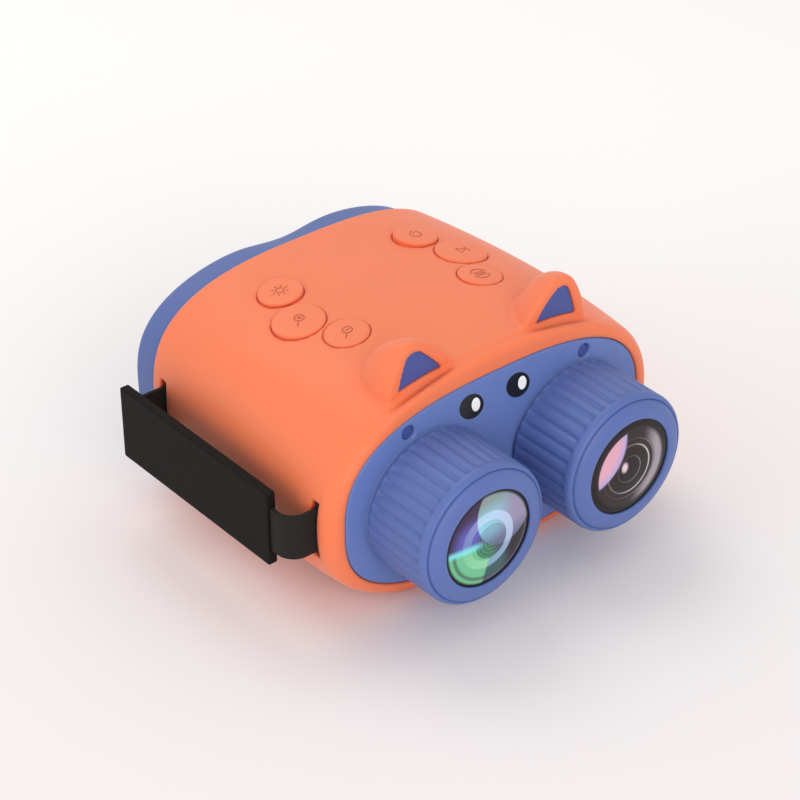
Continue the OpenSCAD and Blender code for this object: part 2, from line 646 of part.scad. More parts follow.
module port_flap() color(orange)
    translate([flap_hinge_x, flap_y[1], 0]) rotate([0, 0, flap_slope]) {
        length = flap_y[1] - flap_y[0] - flap_gap;
        height = flap_z[1] - flap_z[0] - 2 * flap_gap;
        translate([-sleeve_t, -length, flap_z[0] + flap_gap])
            cube([sleeve_t, length - flap_gap, height]);
        translate([-0.1, -length, axis_z - 5]) cube([0.9, 2.4, 8]);
    }

silicone_sleeve();
ear_inserts();
housing();
face_plate();
eye_discs();
eye_glints();
rear_cover();
eye_hood();
display_window();
display_panel();
display_gasket();
main_board();
port_board();
usb_socket();
card_socket();
switch_board_left();
switch_board_right();
tact_switches();
camera_board();
image_sensor();
sensor_holder();
ir_cut_filter();
lamp_board();
ir_lamp();
ring_seal_left();
ring_seal_right();
battery_cell();
battery_lead();
speaker();
speaker_lead();
microphone();
tripod_insert();
case_screws();
board_screws();
strap_bars();
strap_webbing();
strap_pad();
sensor_ribbon();
display_ribbon();
focus_ring_left();
objective_glass_left();
bezel_left();
lens_carriage();
lens_barrel();
lens_element();
focus_ring_right();
objective_glass_right();
bezel_right();
beam_carriage();
beam_lens();
key_light();
key_zoom_in();
key_zoom_out();
key_power();
key_play();
key_menu();
port_flap();
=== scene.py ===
"""Looks of the kids digital camera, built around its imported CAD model.

Shapes are worked out in millimetres in the CAD's own frame and scaled once, when a mesh is made.
The soft sleeve, the face plate and other blended shapes are signed distance fields turned into
quad meshes; turned parts are lathed; the strap is swept along its path.
"""

import math

import bmesh
import bpy
import numpy as np
from mathutils import Matrix, Vector


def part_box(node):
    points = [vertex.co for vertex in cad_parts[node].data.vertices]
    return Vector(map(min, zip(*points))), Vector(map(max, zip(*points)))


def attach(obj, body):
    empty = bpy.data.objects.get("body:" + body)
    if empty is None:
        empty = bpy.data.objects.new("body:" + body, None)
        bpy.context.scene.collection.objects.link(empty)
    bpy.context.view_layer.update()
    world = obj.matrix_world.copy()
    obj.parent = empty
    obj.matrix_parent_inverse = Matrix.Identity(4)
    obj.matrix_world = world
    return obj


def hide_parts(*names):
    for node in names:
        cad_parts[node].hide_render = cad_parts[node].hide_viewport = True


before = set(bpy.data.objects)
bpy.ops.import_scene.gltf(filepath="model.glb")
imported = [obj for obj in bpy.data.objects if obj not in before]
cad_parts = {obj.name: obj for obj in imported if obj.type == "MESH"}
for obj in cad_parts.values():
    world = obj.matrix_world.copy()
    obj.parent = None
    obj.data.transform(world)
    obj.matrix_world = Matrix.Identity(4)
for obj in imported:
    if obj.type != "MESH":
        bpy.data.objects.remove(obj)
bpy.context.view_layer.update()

MM = 0.001


def box_mm(node):
    """Lowest and highest corner of a CAD node, in millimetres."""
    low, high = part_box(node)
    return np.array(low) / MM, np.array(high) / MM


# ---------------------------------------------------------------- driving sizes, in millimetres
RING_LOW, RING_HIGH = box_mm("focus_ring_left")
AXIS_Z = (RING_LOW[2] + RING_HIGH[2]) / 2
LENS_X = -(RING_LOW[0] + RING_HIGH[0]) / 2
RING_R = (RING_HIGH[0] - RING_LOW[0]) / 2
RING_FRONT = -RING_LOW[1]
RING_BASE = -RING_HIGH[1]
GLASS_LOW, GLASS_HIGH = box_mm("objective_glass_left")
SEAT_R = (GLASS_HIGH[0] - GLASS_LOW[0]) / 2 + 0.1
SEAT_Z = -GLASS_HIGH[1] + 2.1
GLASS_R = SEAT_R - 1.15
PAD_LOW, PAD_HIGH = box_mm("strap_pad")
WEB_LOW, WEB_HIGH = box_mm("strap_webbing")
SLEEVE_LOW, SLEEVE_HIGH = box_mm("silicone_sleeve")

SLEEVE_T = 2.2
HOUSING_IN = 2.4
LIP_Y = SLEEVE_LOW[1]
REAR_Y = SLEEVE_HIGH[1]
FRONT_Y = -41.5
FLANGE_Y = -43.9
PLATE_BACK = -42.5
# half width, height above the axis, depth below it, roundness; at the front, middle and rear
SECTIONS = np.array([[63.6, 38.8, 38.6, 2.28], [61.7, 37.5, 36.0, 2.95], [58.7, 36.0, 34.5, 2.88]])
SECTION_Y = (FRONT_Y, 0.0, 46.2)
PLATE = (57.2, 31.7, 31.6, 2.68)
DOME_H = 1.2
SPIGOT_R, SPIGOT_BORE, SPIGOT_END = 17.4, 15.1, 66.0
PAD_Z = 48.4

KEY_TILT = math.radians(8.5)
KEY_TOP = 75.1
KEY_BOTTOM = 72.75
KEY_SPOTS = ((15.6, 22.5, 7.0), (20.9, 6.7, 8.25), (15.0, -8.8, 7.0))
STEM_END = 68.4

FLAP_HINGE = np.array([60.35, 28.0])
FLAP_SLOPE = math.radians(3.4)
FLAP_LENGTH, FLAP_LOW, FLAP_HIGH = 31.0, 27.5, 40.5
SLOTS_Y = (-39.6, 40.0)
SLOT_WIDE, SLOT_TALL = 3.0, 19.0
TRIPOD_Y, SPEAKER_Y = 20.0, -23.0
HOOD_BASE_Y = 46.15
HOOD_END_Y = box_mm("eye_hood")[1][1]


# ---------------------------------------------------------------- fields and shapes
def round_max(a, b, r):
    """Intersection of two fields whose shared edge is rounded with radius r."""
    return np.minimum(-r, np.maximum(a, b)) + np.hypot(np.maximum(a + r, 0), np.maximum(b + r, 0))


def round_min(a, b, r):
    """Union of two fields with a fillet of radius r between them."""
    return -round_max(-a, -b, r)


def soft_max(a, b, k):
    """Intersection with a blend about k wide, for surfaces that meet at a shallow angle."""
    h = np.maximum(k - np.abs(a - b), 0) / k
    return np.maximum(a, b) + h * h * k / 4


def superellipse(x, z, a, b, n):
    """Distance, to first order, from the curve |x/a|^n + |z/b|^n = 1."""
    u, v = np.abs(x) / a, np.abs(z) / b
    s = np.maximum((u ** n + v ** n) ** (1 / n), 0.3)
    slope = s ** (1 - n) * np.hypot(u ** (n - 1) / a, v ** (n - 1) / b)
    return (s - 1) / np.maximum(slope, 1e-4)


def section_at(y):
    """Half width, height, depth and roundness of the body at y."""
    yf, _, yr = SECTION_Y
    y = np.clip(y, yf, yr)
    weights = (y * (y - yr) / (yf * (yf - yr)), (y - yf) * (y - yr) / (yf * yr),
               y * (y - yf) / (yr * (yr - yf)))
    return [sum(w * SECTIONS[i][k] for i, w in enumerate(weights)) for k in range(4)]


def body_distance(x, y, z):
    a, top, depth, n = section_at(y)
    return superellipse(x, z - AXIS_Z - (top - depth) / 2, a, (top + depth) / 2, n)


def plate_distance(x, z):
    a, top, depth, n = PLATE
    return superellipse(x, z - AXIS_Z - (top - depth) / 2, a, (top + depth) / 2, n)


def dome_y(x, z):
    """Front surface of the crowned face plate."""
    a, top, depth, n = PLATE
    u, v = np.abs(x) / a, np.abs(z - AXIS_Z - (top - depth) / 2) / ((top + depth) / 2)
    share = np.minimum((u ** n + v ** n) ** (1 / n), 1.1)
    return LIP_Y + 0.2 - DOME_H * (1 - share ** 2)


def arc_side(x, z, p, q, rise):
    """Inside of the arc from p to q that bulges by rise to the left of the way from p to q."""
    p, q = np.array(p), np.array(q)
    chord = np.linalg.norm(q - p)
    radius = (chord ** 2 / 4 + rise ** 2) / (2 * rise)
    left = np.array([-(q - p)[1], (q - p)[0]]) / chord
    centre = (p + q) / 2 + left * (rise - radius)
    return np.hypot(x - centre[0], z - centre[1]) - radius


EAR_FRONT = -42.6
EAR_DEPTH = 18.8
EAR_BASE = (26.4, 61.9)
EAR_TIP = (29.2, 87.4)
EAR_LEAN = 3.9


def ear_distance(x, y, z):
    """Cat ear: a rounded leaf in front that shrinks to its base and leans outwards behind."""
    u = np.clip((y - EAR_FRONT) / EAR_DEPTH, 0, 0.985)
    s = np.sqrt(1 - u * u)
    px = EAR_BASE[0] + (x - EAR_LEAN * u - EAR_BASE[0]) / s
    pz = EAR_BASE[1] + (z - EAR_BASE[1]) / s
    leaf = round_max(arc_side(px, pz, (10, 69), EAR_TIP, 1.7),
                     arc_side(px, pz, EAR_TIP, (38.1, 67), 2.2), 6.7) * s
    return round_max(round_max(leaf, EAR_FRONT - y, 1.2), y - EAR_FRONT - EAR_DEPTH * 0.985, 0.9)


def leaf_distance(x, z):
    """Outline of the blue insert in an ear."""
    tip = (29.4, 83.9)
    sides = round_max(arc_side(x, z, (17.3, 71.9), tip, 0.8),
                      arc_side(x, z, tip, (34.2, 69.9), 0.6), 4.6)
    return round_max(sides, -arc_side(x, z, (17.6, 73.1), (34.1, 70.8), 0.4), 0.3)


def key_local(x, z):
    """Coordinates across and along the axis of the right-hand keys."""
    return (x * math.cos(KEY_TILT) - z * math.sin(KEY_TILT),
            x * math.sin(KEY_TILT) + z * math.cos(KEY_TILT))


def sleeve_field(x, y, z):
    ax = np.abs(x)
    d = body_distance(x, y, z)
    top = np.clip((z - 59) / 8, 0, 1)
    crease = 0.6 + 0.5 * np.exp(-((ax - EAR_BASE[0]) / 10) ** 4)
    outer = d + crease * top * np.exp(-((y + 44.0) / 1.1) ** 2)
    outer = soft_max(outer, -z, 1.5)
    outer = round_max(outer, LIP_Y - y, 5.2 - 2.5 * top)
    outer = round_max(outer, y - REAR_Y, 0.8)
    outer = round_min(outer, ear_distance(ax, y, z), 1.0)
    opening = np.maximum(plate_distance(x, z) - 0.15, y + 43)
    f = round_max(outer, -opening, 0.7)
    cavity = np.maximum(np.maximum(d + SLEEVE_T, SLEEVE_T - z), FLANGE_Y - 0.2 - y)
    f = np.maximum(f, -cavity)
    f = round_max(f, -np.maximum(leaf_distance(ax, z) - 0.03, y + 41.1), 0.3)
    kx, kz = key_local(ax, z)
    for spot_x, spot_y, r in KEY_SPOTS:
        hole = np.hypot(kx - spot_x, y - spot_y) - r - 0.12
        f = round_max(f, -np.maximum(hole, 66 - kz), 0.3)
    for slot_y in SLOTS_Y:
        slot = np.maximum(np.abs(y - slot_y) - SLOT_WIDE / 2, np.abs(z - AXIS_Z) - SLOT_TALL / 2)
        f = round_max(f, -np.maximum(slot, x + 50), 0.4)
    u, v = flap_local(x, y)
    flap = np.maximum(np.abs(v + FLAP_LENGTH / 2) - FLAP_LENGTH / 2,
                      np.abs(z - (FLAP_LOW + FLAP_HIGH) / 2) - (FLAP_HIGH - FLAP_LOW) / 2)
    f = round_max(f, -np.maximum(flap, -5 - u), 0.35)
    f = round_max(f, -np.maximum(np.hypot(x, y - TRIPOD_Y) - 5.2, z - 6), 0.4)
    sound = np.hypot(y - SPEAKER_Y, z - AXIS_Z)
    for k in range(6):
        a = math.radians(60 * k)
        sound = np.minimum(sound, np.hypot(y - SPEAKER_Y - 4 * math.sin(a),
                                           z - AXIS_Z - 4 * math.cos(a)))
    return np.maximum(f, -np.maximum(sound - 0.9, 50 - x))


def flap_local(x, y):
    """Out of and along the port flap, from its hinge."""
    dx, dy = x - FLAP_HINGE[0], y - FLAP_HINGE[1]
    c, s = math.cos(FLAP_SLOPE), math.sin(FLAP_SLOPE)
    return dx * c + dy * s, -dx * s + dy * c


def flap_field(x, y, z):
    """Silicone flap that carries the sleeve's surface on, with a small lip to pull."""
    u, v = flap_local(x, y)
    mid_z, half_z = (FLAP_LOW + FLAP_HIGH) / 2, (FLAP_HIGH - FLAP_LOW) / 2 - 0.3
    half_y = (FLAP_LENGTH - 0.6) / 2
    skin = np.maximum(body_distance(x, y, z), -body_distance(x, y, z) - SLEEVE_T)
    plan = round_max(np.abs(v + FLAP_LENGTH / 2) - half_y, np.abs(z - mid_z) - half_z, 1.2)
    lid = round_max(skin, plan, 0.4)
    lip = round_max(np.abs(v + FLAP_LENGTH - 1.6) - 1.0, np.abs(z - mid_z + 0.5) - 4, 0.9)
    lip = round_max(lip, np.abs(body_distance(x, y, z)) - 0.85, 0.5)
    return round_min(lid, lip, 0.5)


def plate_field(x, y, z):
    ax = np.abs(x)
    r = np.hypot(ax - LENS_X, z - AXIS_Z)
    crown = round_max(plate_distance(x, z), dome_y(x, z) - y, 0.6)
    flange = np.maximum(body_distance(x, np.full_like(y, FRONT_Y), z) + HOUSING_IN, FLANGE_Y - y)
    flange = np.maximum(flange, HOUSING_IN - z)
    f = np.minimum(crown, flange)
    pad = round_max(r - 22.0, -PAD_Z - y, 0.5)
    f = round_min(f, pad, 0.4)
    f = np.minimum(f, np.maximum(r - SPIGOT_R, -SPIGOT_END - y))
    f = np.maximum(f, y - PLATE_BACK)
    f = round_max(f, SPIGOT_BORE - r, 0.4)
    for z0 in (59.4, 10.4):
        pocket = np.maximum(np.hypot(ax - 34, z - z0) - 2.3, y + 44.6)
        f = round_max(f, -pocket, 0.35)
    return np.maximum(f, 0.6 - np.hypot(x, z - 15))


def insert_field(x, y, z):
    return round_max(leaf_distance(np.abs(x), z) + 0.05,
                     np.maximum(-42.05 - y, y + 41.15), 0.25)


# ---------------------------------------------------------------- meshes from fields
def surface_net(field, low, high, step):
    """Quad mesh of the zero surface of a field, with each vertex drawn onto the surface."""
    counts = [int(math.ceil((high[i] - low[i]) / step)) + 1 for i in range(3)]
    axes = [low[i] + step * np.arange(counts[i]) for i in range(3)]
    grid = np.meshgrid(*axes, indexing="ij")
    value = field(*grid)
    del grid
    inside = value < 0
    corners = [(i, j, k) for i in (0, 1) for j in (0, 1) for k in (0, 1)]

    def view(a, c):
        return a[tuple(slice(c[i], counts[i] - 1 + c[i]) for i in range(3))]

    filled = sum(view(inside, c).astype(np.int8) for c in corners)
    cells = np.argwhere((filled > 0) & (filled < 8))
    index = np.full(filled.shape, -1, np.int64)
    index[tuple(cells.T)] = np.arange(len(cells))
    total, hits = np.zeros((len(cells), 3)), np.zeros(len(cells))
    for c in corners:
        for axis in range(3):
            if c[axis]:
                continue
            e = tuple(c[i] + (i == axis) for i in range(3))
            va = value[tuple((cells + c).T)]
            vb = value[tuple((cells + e).T)]
            cut = (va < 0) != (vb < 0)
            t = np.where(cut, va / np.where(cut, va - vb, 1), 0)
            point = np.array(c, float) + t[:, None] * (np.array(e) - np.array(c))
            total += point * cut[:, None]
            hits += cut
    points = (cells + total / hits[:, None]) * step + np.array(low)
    quads = []
    for axis in range(3):
        b, c = (axis + 1) % 3, (axis + 2) % 3
        first = [slice(1, counts[i] - 1) for i in range(3)]
        second = list(first)
        first[axis], second[axis] = slice(0, counts[axis] - 1), slice(1, counts[axis])
        s0, s1 = inside[tuple(first)], inside[tuple(second)]
        for grows, rows in ((True, np.argwhere(s0 & ~s1)), (False, np.argwhere(~s0 & s1))):
            base = rows + np.array([0 if i == axis else 1 for i in range(3)])
            ring = []
            for db, dc in ((-1, -1), (0, -1), (0, 0), (-1, 0)):
                cell = base.copy()
                cell[:, b] += db
                cell[:, c] += dc
                ring.append(index[tuple(cell.T)])
            quads.append(np.stack(ring if grows else ring[::-1], 1))
    return pull_to_surface(field, points, step), np.concatenate(quads)


def pull_to_surface(field, points, step, rounds=4):
    """Moves points along the field's slope until they lie on its zero surface."""
    start, h = points.copy(), 0.02
    for _ in range(rounds):
        slope = np.stack([
            (field(*(points + h * e).T) - field(*(points - h * e).T)) / (2 * h)
            for e in np.eye(3)], 1)
        value = field(*points.T)
        square = np.maximum((slope ** 2).sum(1), 0.05)
        points = points - slope * (value / square)[:, None]
        shift = points - start
        length = np.linalg.norm(shift, axis=1)
        points = start + shift * np.minimum(1, 0.8 * step / np.maximum(length, 1e-9))[:, None]
    return points


def new_object(name, points, faces, material, body, smooth=True, angle=None):
    """Object from points in millimetres and lists of vertex numbers, riding on a CAD body."""
    mesh = bpy.data.meshes.new(name)
    mesh.from_pydata((np.asarray(points) * MM).tolist(), [], [list(map(int, f)) for f in faces])
    mesh.validate()
    mesh.materials.append(material)
    mesh.polygons.foreach_set("use_smooth", [smooth] * len(mesh.polygons))
    obj = bpy.data.objects.new(name, mesh)
    bpy.context.scene.collection.objects.link(obj)
    if angle is not None:
        mesh.set_sharp_from_angle(angle=math.radians(angle))
    if body:
        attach(obj, body)
    return obj


def field_object(name, field, low, high, step, material, body):
    points, quads = surface_net(field, low, high, step)
    return new_object(name, points, quads, material, body)


def grid_faces(rows, cols, close_rows=False, close_cols=True, flip=False):
    """Quads of a grid of points numbered row by row."""
    faces = []
    for j in range(rows if close_rows else rows - 1):
        for i in range(cols if close_cols else cols - 1):
            a, b = j * cols + i, j * cols + (i + 1) % cols
            c, d = ((j + 1) % rows) * cols + (i + 1) % cols, ((j + 1) % rows) * cols + i
            faces.append((a, b, c, d) if not flip else (a, d, c, b))
    return faces


def lens_points(side, r, angle, forward):
    """Points in the frame from radius, angle and distance forward along a lens axis."""
    return np.stack([side * LENS_X + r * np.sin(angle), -forward + 0 * angle,
                     AXIS_Z + r * np.cos(angle)], -1)


def lathe(name, side, profile, material, body, steps=128, closed=True, angle=40):
    """Turned part on a lens axis. profile holds (radius, forward) points; closed joins its ends,
    otherwise its ends lie on the axis."""
    turn = np.linspace(0, 2 * math.pi, steps, endpoint=False)
    rows = [lens_points(side, np.full(steps, max(r, 1e-4)), turn, f) for r, f in profile]
    faces = grid_faces(len(profile), steps, close_rows=closed)
    if not closed:
        faces += [tuple(range(steps))[::-1],
                  tuple(range((len(profile) - 1) * steps, len(profile) * steps))]
    obj = new_object(name, np.concatenate(rows), faces, material, body, angle=angle)
    fix_normals(obj)
    return obj


def fix_normals(obj):
    mesh = bmesh.new()
    mesh.from_mesh(obj.data)
    bmesh.ops.remove_doubles(mesh, verts=mesh.verts, dist=1e-7)
    bmesh.ops.recalc_face_normals(mesh, faces=mesh.faces)
    mesh.to_mesh(obj.data)
    mesh.free()


def arc(centre, r, a0, a1, n):
    """n + 1 points of an arc, in degrees."""
    return [(centre[0] + r * math.cos(math.radians(a0 + (a1 - a0) * i / n)),
             centre[1] + r * math.sin(math.radians(a0 + (a1 - a0) * i / n)))
            for i in range(n + 1)]


def join(target, *others):
    """Adds the faces of other objects to target and removes them."""
    names = [m.name for m in target.data.materials]
    whole = bmesh.new()
    whole.from_mesh(target.data)
    for other in others:
        slots = []
        for m in other.data.materials:
            if m.name not in names:
                names.append(m.name)
                target.data.materials.append(m)
            slots.append(names.index(m.name))
        before = len(whole.faces)
        whole.from_mesh(other.data)
        whole.faces.ensure_lookup_table()
        for face in whole.faces[before:]:
            face.material_index = slots[face.material_index]
        bpy.data.objects.remove(other)
    whole.to_mesh(target.data)
    whole.free()
    return target


# ---------------------------------------------------------------- materials
class Tree:
    """Short way to write a node material: each call adds a node and wires its inputs."""

    def __init__(self, name):
        self.material = bpy.data.materials.new(name)
        self.material.use_nodes = True
        self.nodes, self.links = self.material.node_tree.nodes, self.material.node_tree.links
        self.nodes.clear()
        self.out = self.nodes.new("ShaderNodeOutputMaterial")

    def add(self, kind, inputs=None, **settings):
        node = self.nodes.new("ShaderNode" + kind)
        for key, value in settings.items():
            setattr(node, key, value)
        for key, value in (inputs or {}).items():
            self.wire(node.inputs[key], value)
        return node

    def wire(self, socket, value):
        if isinstance(value, bpy.types.NodeSocket):
            self.links.new(value, socket)
        else:
            socket.default_value = value

    def math(self, operation, a, b=0.0, c=0.0):
        node = self.nodes.new("ShaderNodeMath")
        node.operation = operation
        for socket, value in zip(node.inputs, (a, b, c)):
            self.wire(socket, value)
        return node.outputs[0]

    def mix(self, factor, a, b):
        node = self.add("Mix", data_type="RGBA")
        for socket, value in zip((node.inputs[0], node.inputs[6], node.inputs[7]), (factor, a, b)):
            self.wire(socket, value)
        return node.outputs[2]

    def step(self, value, low, high):
        """Smooth step of value from 0 at low to 1 at high."""
        node = self.add("MapRange", {"Value": value, "From Min": low, "From Max": high},
                        interpolation_type="SMOOTHSTEP")
        return node.outputs[0]

    def noise(self, size_mm, detail=2.0, roughness=0.5):
        place = self.add("TexCoord").outputs["Object"]
        return self.add("TexNoise", {"Vector": place, "Scale": 1 / (size_mm * MM),
                                     "Detail": detail, "Roughness": roughness}).outputs["Fac"]

    def finish(self, shader):
        self.links.new(shader, self.out.inputs["Surface"])
        return self.material


def srgb(r, g, b):
    """Linear colour, with alpha, from 0 to 255 display values."""
    def linear(v):
        v /= 255
        return v / 12.92 if v <= 0.04045 else ((v + 0.055) / 1.055) ** 2.4
    return (linear(r), linear(g), linear(b), 1.0)


def scaled(colour, k):
    return tuple(min(1.0, c * k) for c in colour[:3]) + (1.0,)


def moulded(name, colour, rough=0.5, grain=0.25, bump=0.012, tint=0.05, edge=0.12,
            rough_spread=0.08, crease_painted_shade=None, **extra):
    """Moulded plastic or rubber: fine grain, slow colour drift, paler worn edges, and painted
    shade, a darker colour in creases and narrow places that ambient occlusion finds."""
    t = Tree(name)
    fine = t.noise(grain, 3.0)
    slow = t.noise(14, 2.0)
    height = t.add("Bump", {"Height": fine, "Distance": bump * MM, "Strength": 0.8})
    drift = t.mix(slow, scaled(colour, 1 - tint), scaled(colour, 1 + tint))
    pointed = t.add("NewGeometry").outputs["Pointiness"]
    worn = t.math("MULTIPLY", t.step(pointed, 0.52, 0.62), edge)
    shade = t.mix(worn, drift, scaled(colour, 1.5))
    if crease_painted_shade:
        # painted shade: the colour turns to the darker crease colour where ambient occlusion finds
        # a crease or narrow place
        near = t.add("AmbientOcclusion", {"Distance": 7 * MM}, samples=6).outputs["AO"]
        shade = t.mix(t.step(near, 0.35, 0.95), crease_painted_shade, shade)
    roughness = t.math("ADD", rough - rough_spread / 2,
                       t.math("MULTIPLY", t.noise(5, 3.0), rough_spread))
    inputs = {"Base Color": shade, "Roughness": roughness, "Normal": height.outputs[0]}
    inputs.update(extra)
    return t.finish(t.add("BsdfPrincipled", inputs).outputs[0])


def metal(name, colour, rough=0.3, streak=0.6):
    t = Tree(name)
    place = t.add("TexCoord").outputs["Object"]
    stretched = t.add("Mapping", {"Vector": place, "Scale": (1, 12, 1)}).outputs[0]
    lines = t.add("TexNoise", {"Vector": stretched, "Scale": 1 / (streak * MM), "Detail": 4.0})
    rough_node = t.add("MapRange", {"Value": lines.outputs["Fac"], "To Min": rough * 0.7,
                                    "To Max": rough * 1.4})
    bump = t.add("Bump", {"Height": lines.outputs["Fac"], "Distance": 0.006 * MM})
    shade = t.mix(t.noise(3), scaled(colour, 0.85), scaled(colour, 1.05))
    return t.finish(t.add("BsdfPrincipled", {
        "Base Color": shade, "Metallic": 1.0, "Roughness": rough_node.outputs[0],
        "Normal": bump.outputs[0]}).outputs[0])


def clear(name, tint, rough=0.02, mirror=1.0, ior=1.5):
    """Thin clear cover: lets light through and reflects more towards its edge."""
    t = Tree(name)
    smear = t.math("ADD", rough, t.math("MULTIPLY", t.step(t.noise(6, 4.0), 0.55, 0.8), 0.03))
    fresnel = t.add("Fresnel", {"IOR": ior}).outputs[0]
    through = t.add("BsdfTransparent", {"Color": tint}).outputs[0]
    gloss = t.add("BsdfGlossy", {"Color": (1, 1, 1, 1), "Roughness": smear}).outputs[0]
    share = t.math("MINIMUM", t.math("MULTIPLY", fresnel, mirror), 1.0)
    return t.finish(t.add("MixShader", {0: share, 1: through, 2: gloss}).outputs[0])


def woven(name, colour, rib=1.1):
    """Nylon webbing: ribs along the strap crossed by finer yarns, with painted light and shade:
    the yarns are lighter where they stand high and darker in the low places between them.
    """
    t = Tree(name)
    uv = t.add("TexCoord").outputs["UV"]
    split = t.add("SeparateXYZ", {0: uv})
    along, across = split.outputs[0], split.outputs[1]
    ribs = t.math("ABSOLUTE", t.math("SINE", t.math("MULTIPLY", across, math.pi / rib)))
    swap = t.math("GREATER_THAN", t.math("SINE", t.math("MULTIPLY", across, math.pi / rib)), 0.0)
    shifted = t.math("ADD", t.math("MULTIPLY", along, 2 * math.pi / 0.9),
                     t.math("MULTIPLY", swap, math.pi))
    yarns = t.math("ADD", 0.5, t.math("MULTIPLY", t.math("SINE", shifted), 0.5))
    height = t.math("ADD", t.math("MULTIPLY", ribs, 0.6), t.math("MULTIPLY", yarns, 0.4))
    fuzz = t.math("ADD", height, t.math("MULTIPLY", t.noise(0.15, 3.0), 0.3))
    bump = t.add("Bump", {"Height": fuzz, "Distance": 0.14 * MM, "Strength": 0.9})
    # painted light and shade: the colour runs from dark in the low places of the weave to light on
    # its high yarns
    shade = t.mix(height, scaled(colour, 0.55), scaled(colour, 1.5))
    return t.finish(t.add("BsdfPrincipled", {
        "Base Color": shade, "Roughness": 0.72, "Normal": bump.outputs[0],
        "Sheen Weight": 0.03, "Specular IOR Level": 0.2}).outputs[0])


ORANGE = srgb(237, 119, 73)
# painted light: BLUE, used on the face plate, is lighter than RING_BLUE to make up for the shade
# that falls on the plate between the ears and the rings
BLUE = srgb(98, 120, 181)
RING_BLUE = srgb(84, 105, 166)
DEEP_BLUE = srgb(62, 78, 146)

# the silicone's crease colour is painted shade, a deeper orange in its creases and in front of the
# ears
silicone = moulded("silicone_orange", ORANGE, rough=0.52, grain=0.3, bump=0.010, tint=0.03,
                   crease_painted_shade=srgb(222, 88, 40),
                   **{"Sheen Weight": 0.2, "Sheen Roughness": 0.5,
                      "Sheen Tint": (1.0, 0.85, 0.85, 1), "Specular IOR Level": 0.4})
# painted shade: the raised icon lines are a darker orange than the cap, standing for the shade
# along them
icon_painted_shade = moulded("silicone_icon_painted_shade", scaled(ORANGE, 0.5), rough=0.5)
blue_plastic = moulded("plastic_blue", BLUE, rough=0.48, grain=0.22, bump=0.012, tint=0.04,
                       **{"Specular IOR Level": 0.4})
ring_blue = moulded("plastic_blue_ring", RING_BLUE, rough=0.45, grain=0.2, bump=0.012, tint=0.05,
                    **{"Specular IOR Level": 0.4})
insert_blue = moulded("plastic_blue_ear", DEEP_BLUE, rough=0.5, grain=0.25)
hood_blue = moulded("rubber_blue", srgb(80, 101, 161), rough=0.58, grain=0.35, bump=0.015,
                    **{"Sheen Weight": 0.1})
ink_black = moulded("ink_black", srgb(20, 20, 20), rough=0.3, grain=0.3, bump=0.004, edge=0.0)
ink_white = moulded("ink_white", srgb(248, 248, 246), rough=0.3, grain=0.3, bump=0.004, edge=0.0)
lens_black = moulded("lens_black", srgb(16, 15, 16), rough=0.35, grain=0.2, bump=0.004, edge=0.3)
pad_black = moulded("pad_black", srgb(18, 15, 13), rough=0.7, grain=0.35, bump=0.03, edge=0.5,
                    **{"Specular IOR Level": 0.15})
webbing_black = woven("webbing_black", srgb(26, 23, 21))
foam_black = moulded("foam_black", srgb(26, 26, 26), rough=0.85, grain=0.5, bump=0.08)
board_green = moulded("board_green", srgb(20, 84, 50), rough=0.3, grain=0.6, bump=0.006)
steel = metal("steel", srgb(190, 192, 196), rough=0.32)
brass = metal("brass", srgb(205, 165, 85), rough=0.28)
foil = metal("foil", srgb(200, 202, 206), rough=0.4, streak=2.0)
sensor_face = moulded("sensor_face", srgb(70, 66, 40), rough=0.15, grain=0.2, bump=0.002)
lamp_white = moulded("lamp_white", srgb(238, 232, 205), rough=0.25)
lead_red = moulded("lead_red", srgb(170, 40, 34), rough=0.45)
ribbon_amber = moulded("ribbon_amber", srgb(188, 122, 44), rough=0.3)
seal_black = moulded("seal_black", srgb(18, 18, 18), rough=0.4)
switch_black = moulded("switch_black", srgb(24, 24, 25), rough=0.45)
display_dark = moulded("display_dark", srgb(10, 11, 16), rough=0.12, bump=0.001,
                       **{"Coat Weight": 0.6, "Coat Roughness": 0.05})
window_clear = clear("window_clear", (0.80, 0.83, 0.86, 1), rough=0.03, mirror=1.3)
glass_cover = clear("glass_cover", (0.93, 0.94, 0.97, 1), rough=0.01, mirror=1.2)
filter_glass = clear("filter_glass", (0.55, 0.80, 0.88, 1), rough=0.02, mirror=1.5)

CAD_LOOKS = {
    blue_plastic: ("housing", "rear_cover"),
    window_clear: ("display_window",), display_dark: ("display_panel",),
    foam_black: ("display_gasket",),
    board_green: ("main_board", "port_board", "switch_board_left", "switch_board_right",
                  "camera_board", "lamp_board"),
    steel: ("usb_socket", "card_socket", "microphone", "case_screws", "board_screws",
            "strap_bars"),
    switch_black: ("tact_switches", "speaker", "sensor_holder"),
    sensor_face: ("image_sensor",), filter_glass: ("ir_cut_filter",),
    lamp_white: ("ir_lamp",), seal_black: ("ring_seal_left", "ring_seal_right"),
    foil: ("battery_cell",), lead_red: ("battery_lead", "speaker_lead"),
    brass: ("tripod_insert",), ribbon_amber: ("sensor_ribbon", "display_ribbon"),
    lens_black: ("lens_carriage", "lens_barrel", "beam_carriage"),
    glass_cover: ("lens_element", "beam_lens"),
}
for look, names in CAD_LOOKS.items():
    for node_name in names:
        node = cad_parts[node_name]
        node.data.materials.clear()
        node.data.materials.append(look)
# the case screws in the face plate are painted to match it
case_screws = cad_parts["case_screws"]
case_screws.data.materials.append(insert_blue)
for face in case_screws.data.polygons:
    if (case_screws.matrix_world @ face.center).y < 0:
        face.material_index = 1


# ---------------------------------------------------------------- sleeve, plate, ears, flap
FINE = 0.62

sleeve = field_object("sleeve", sleeve_field, (-65, -47, -1.2), (65, 47.5, 90), FINE,
                      silicone, "camera_body")
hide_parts("silicone_sleeve")

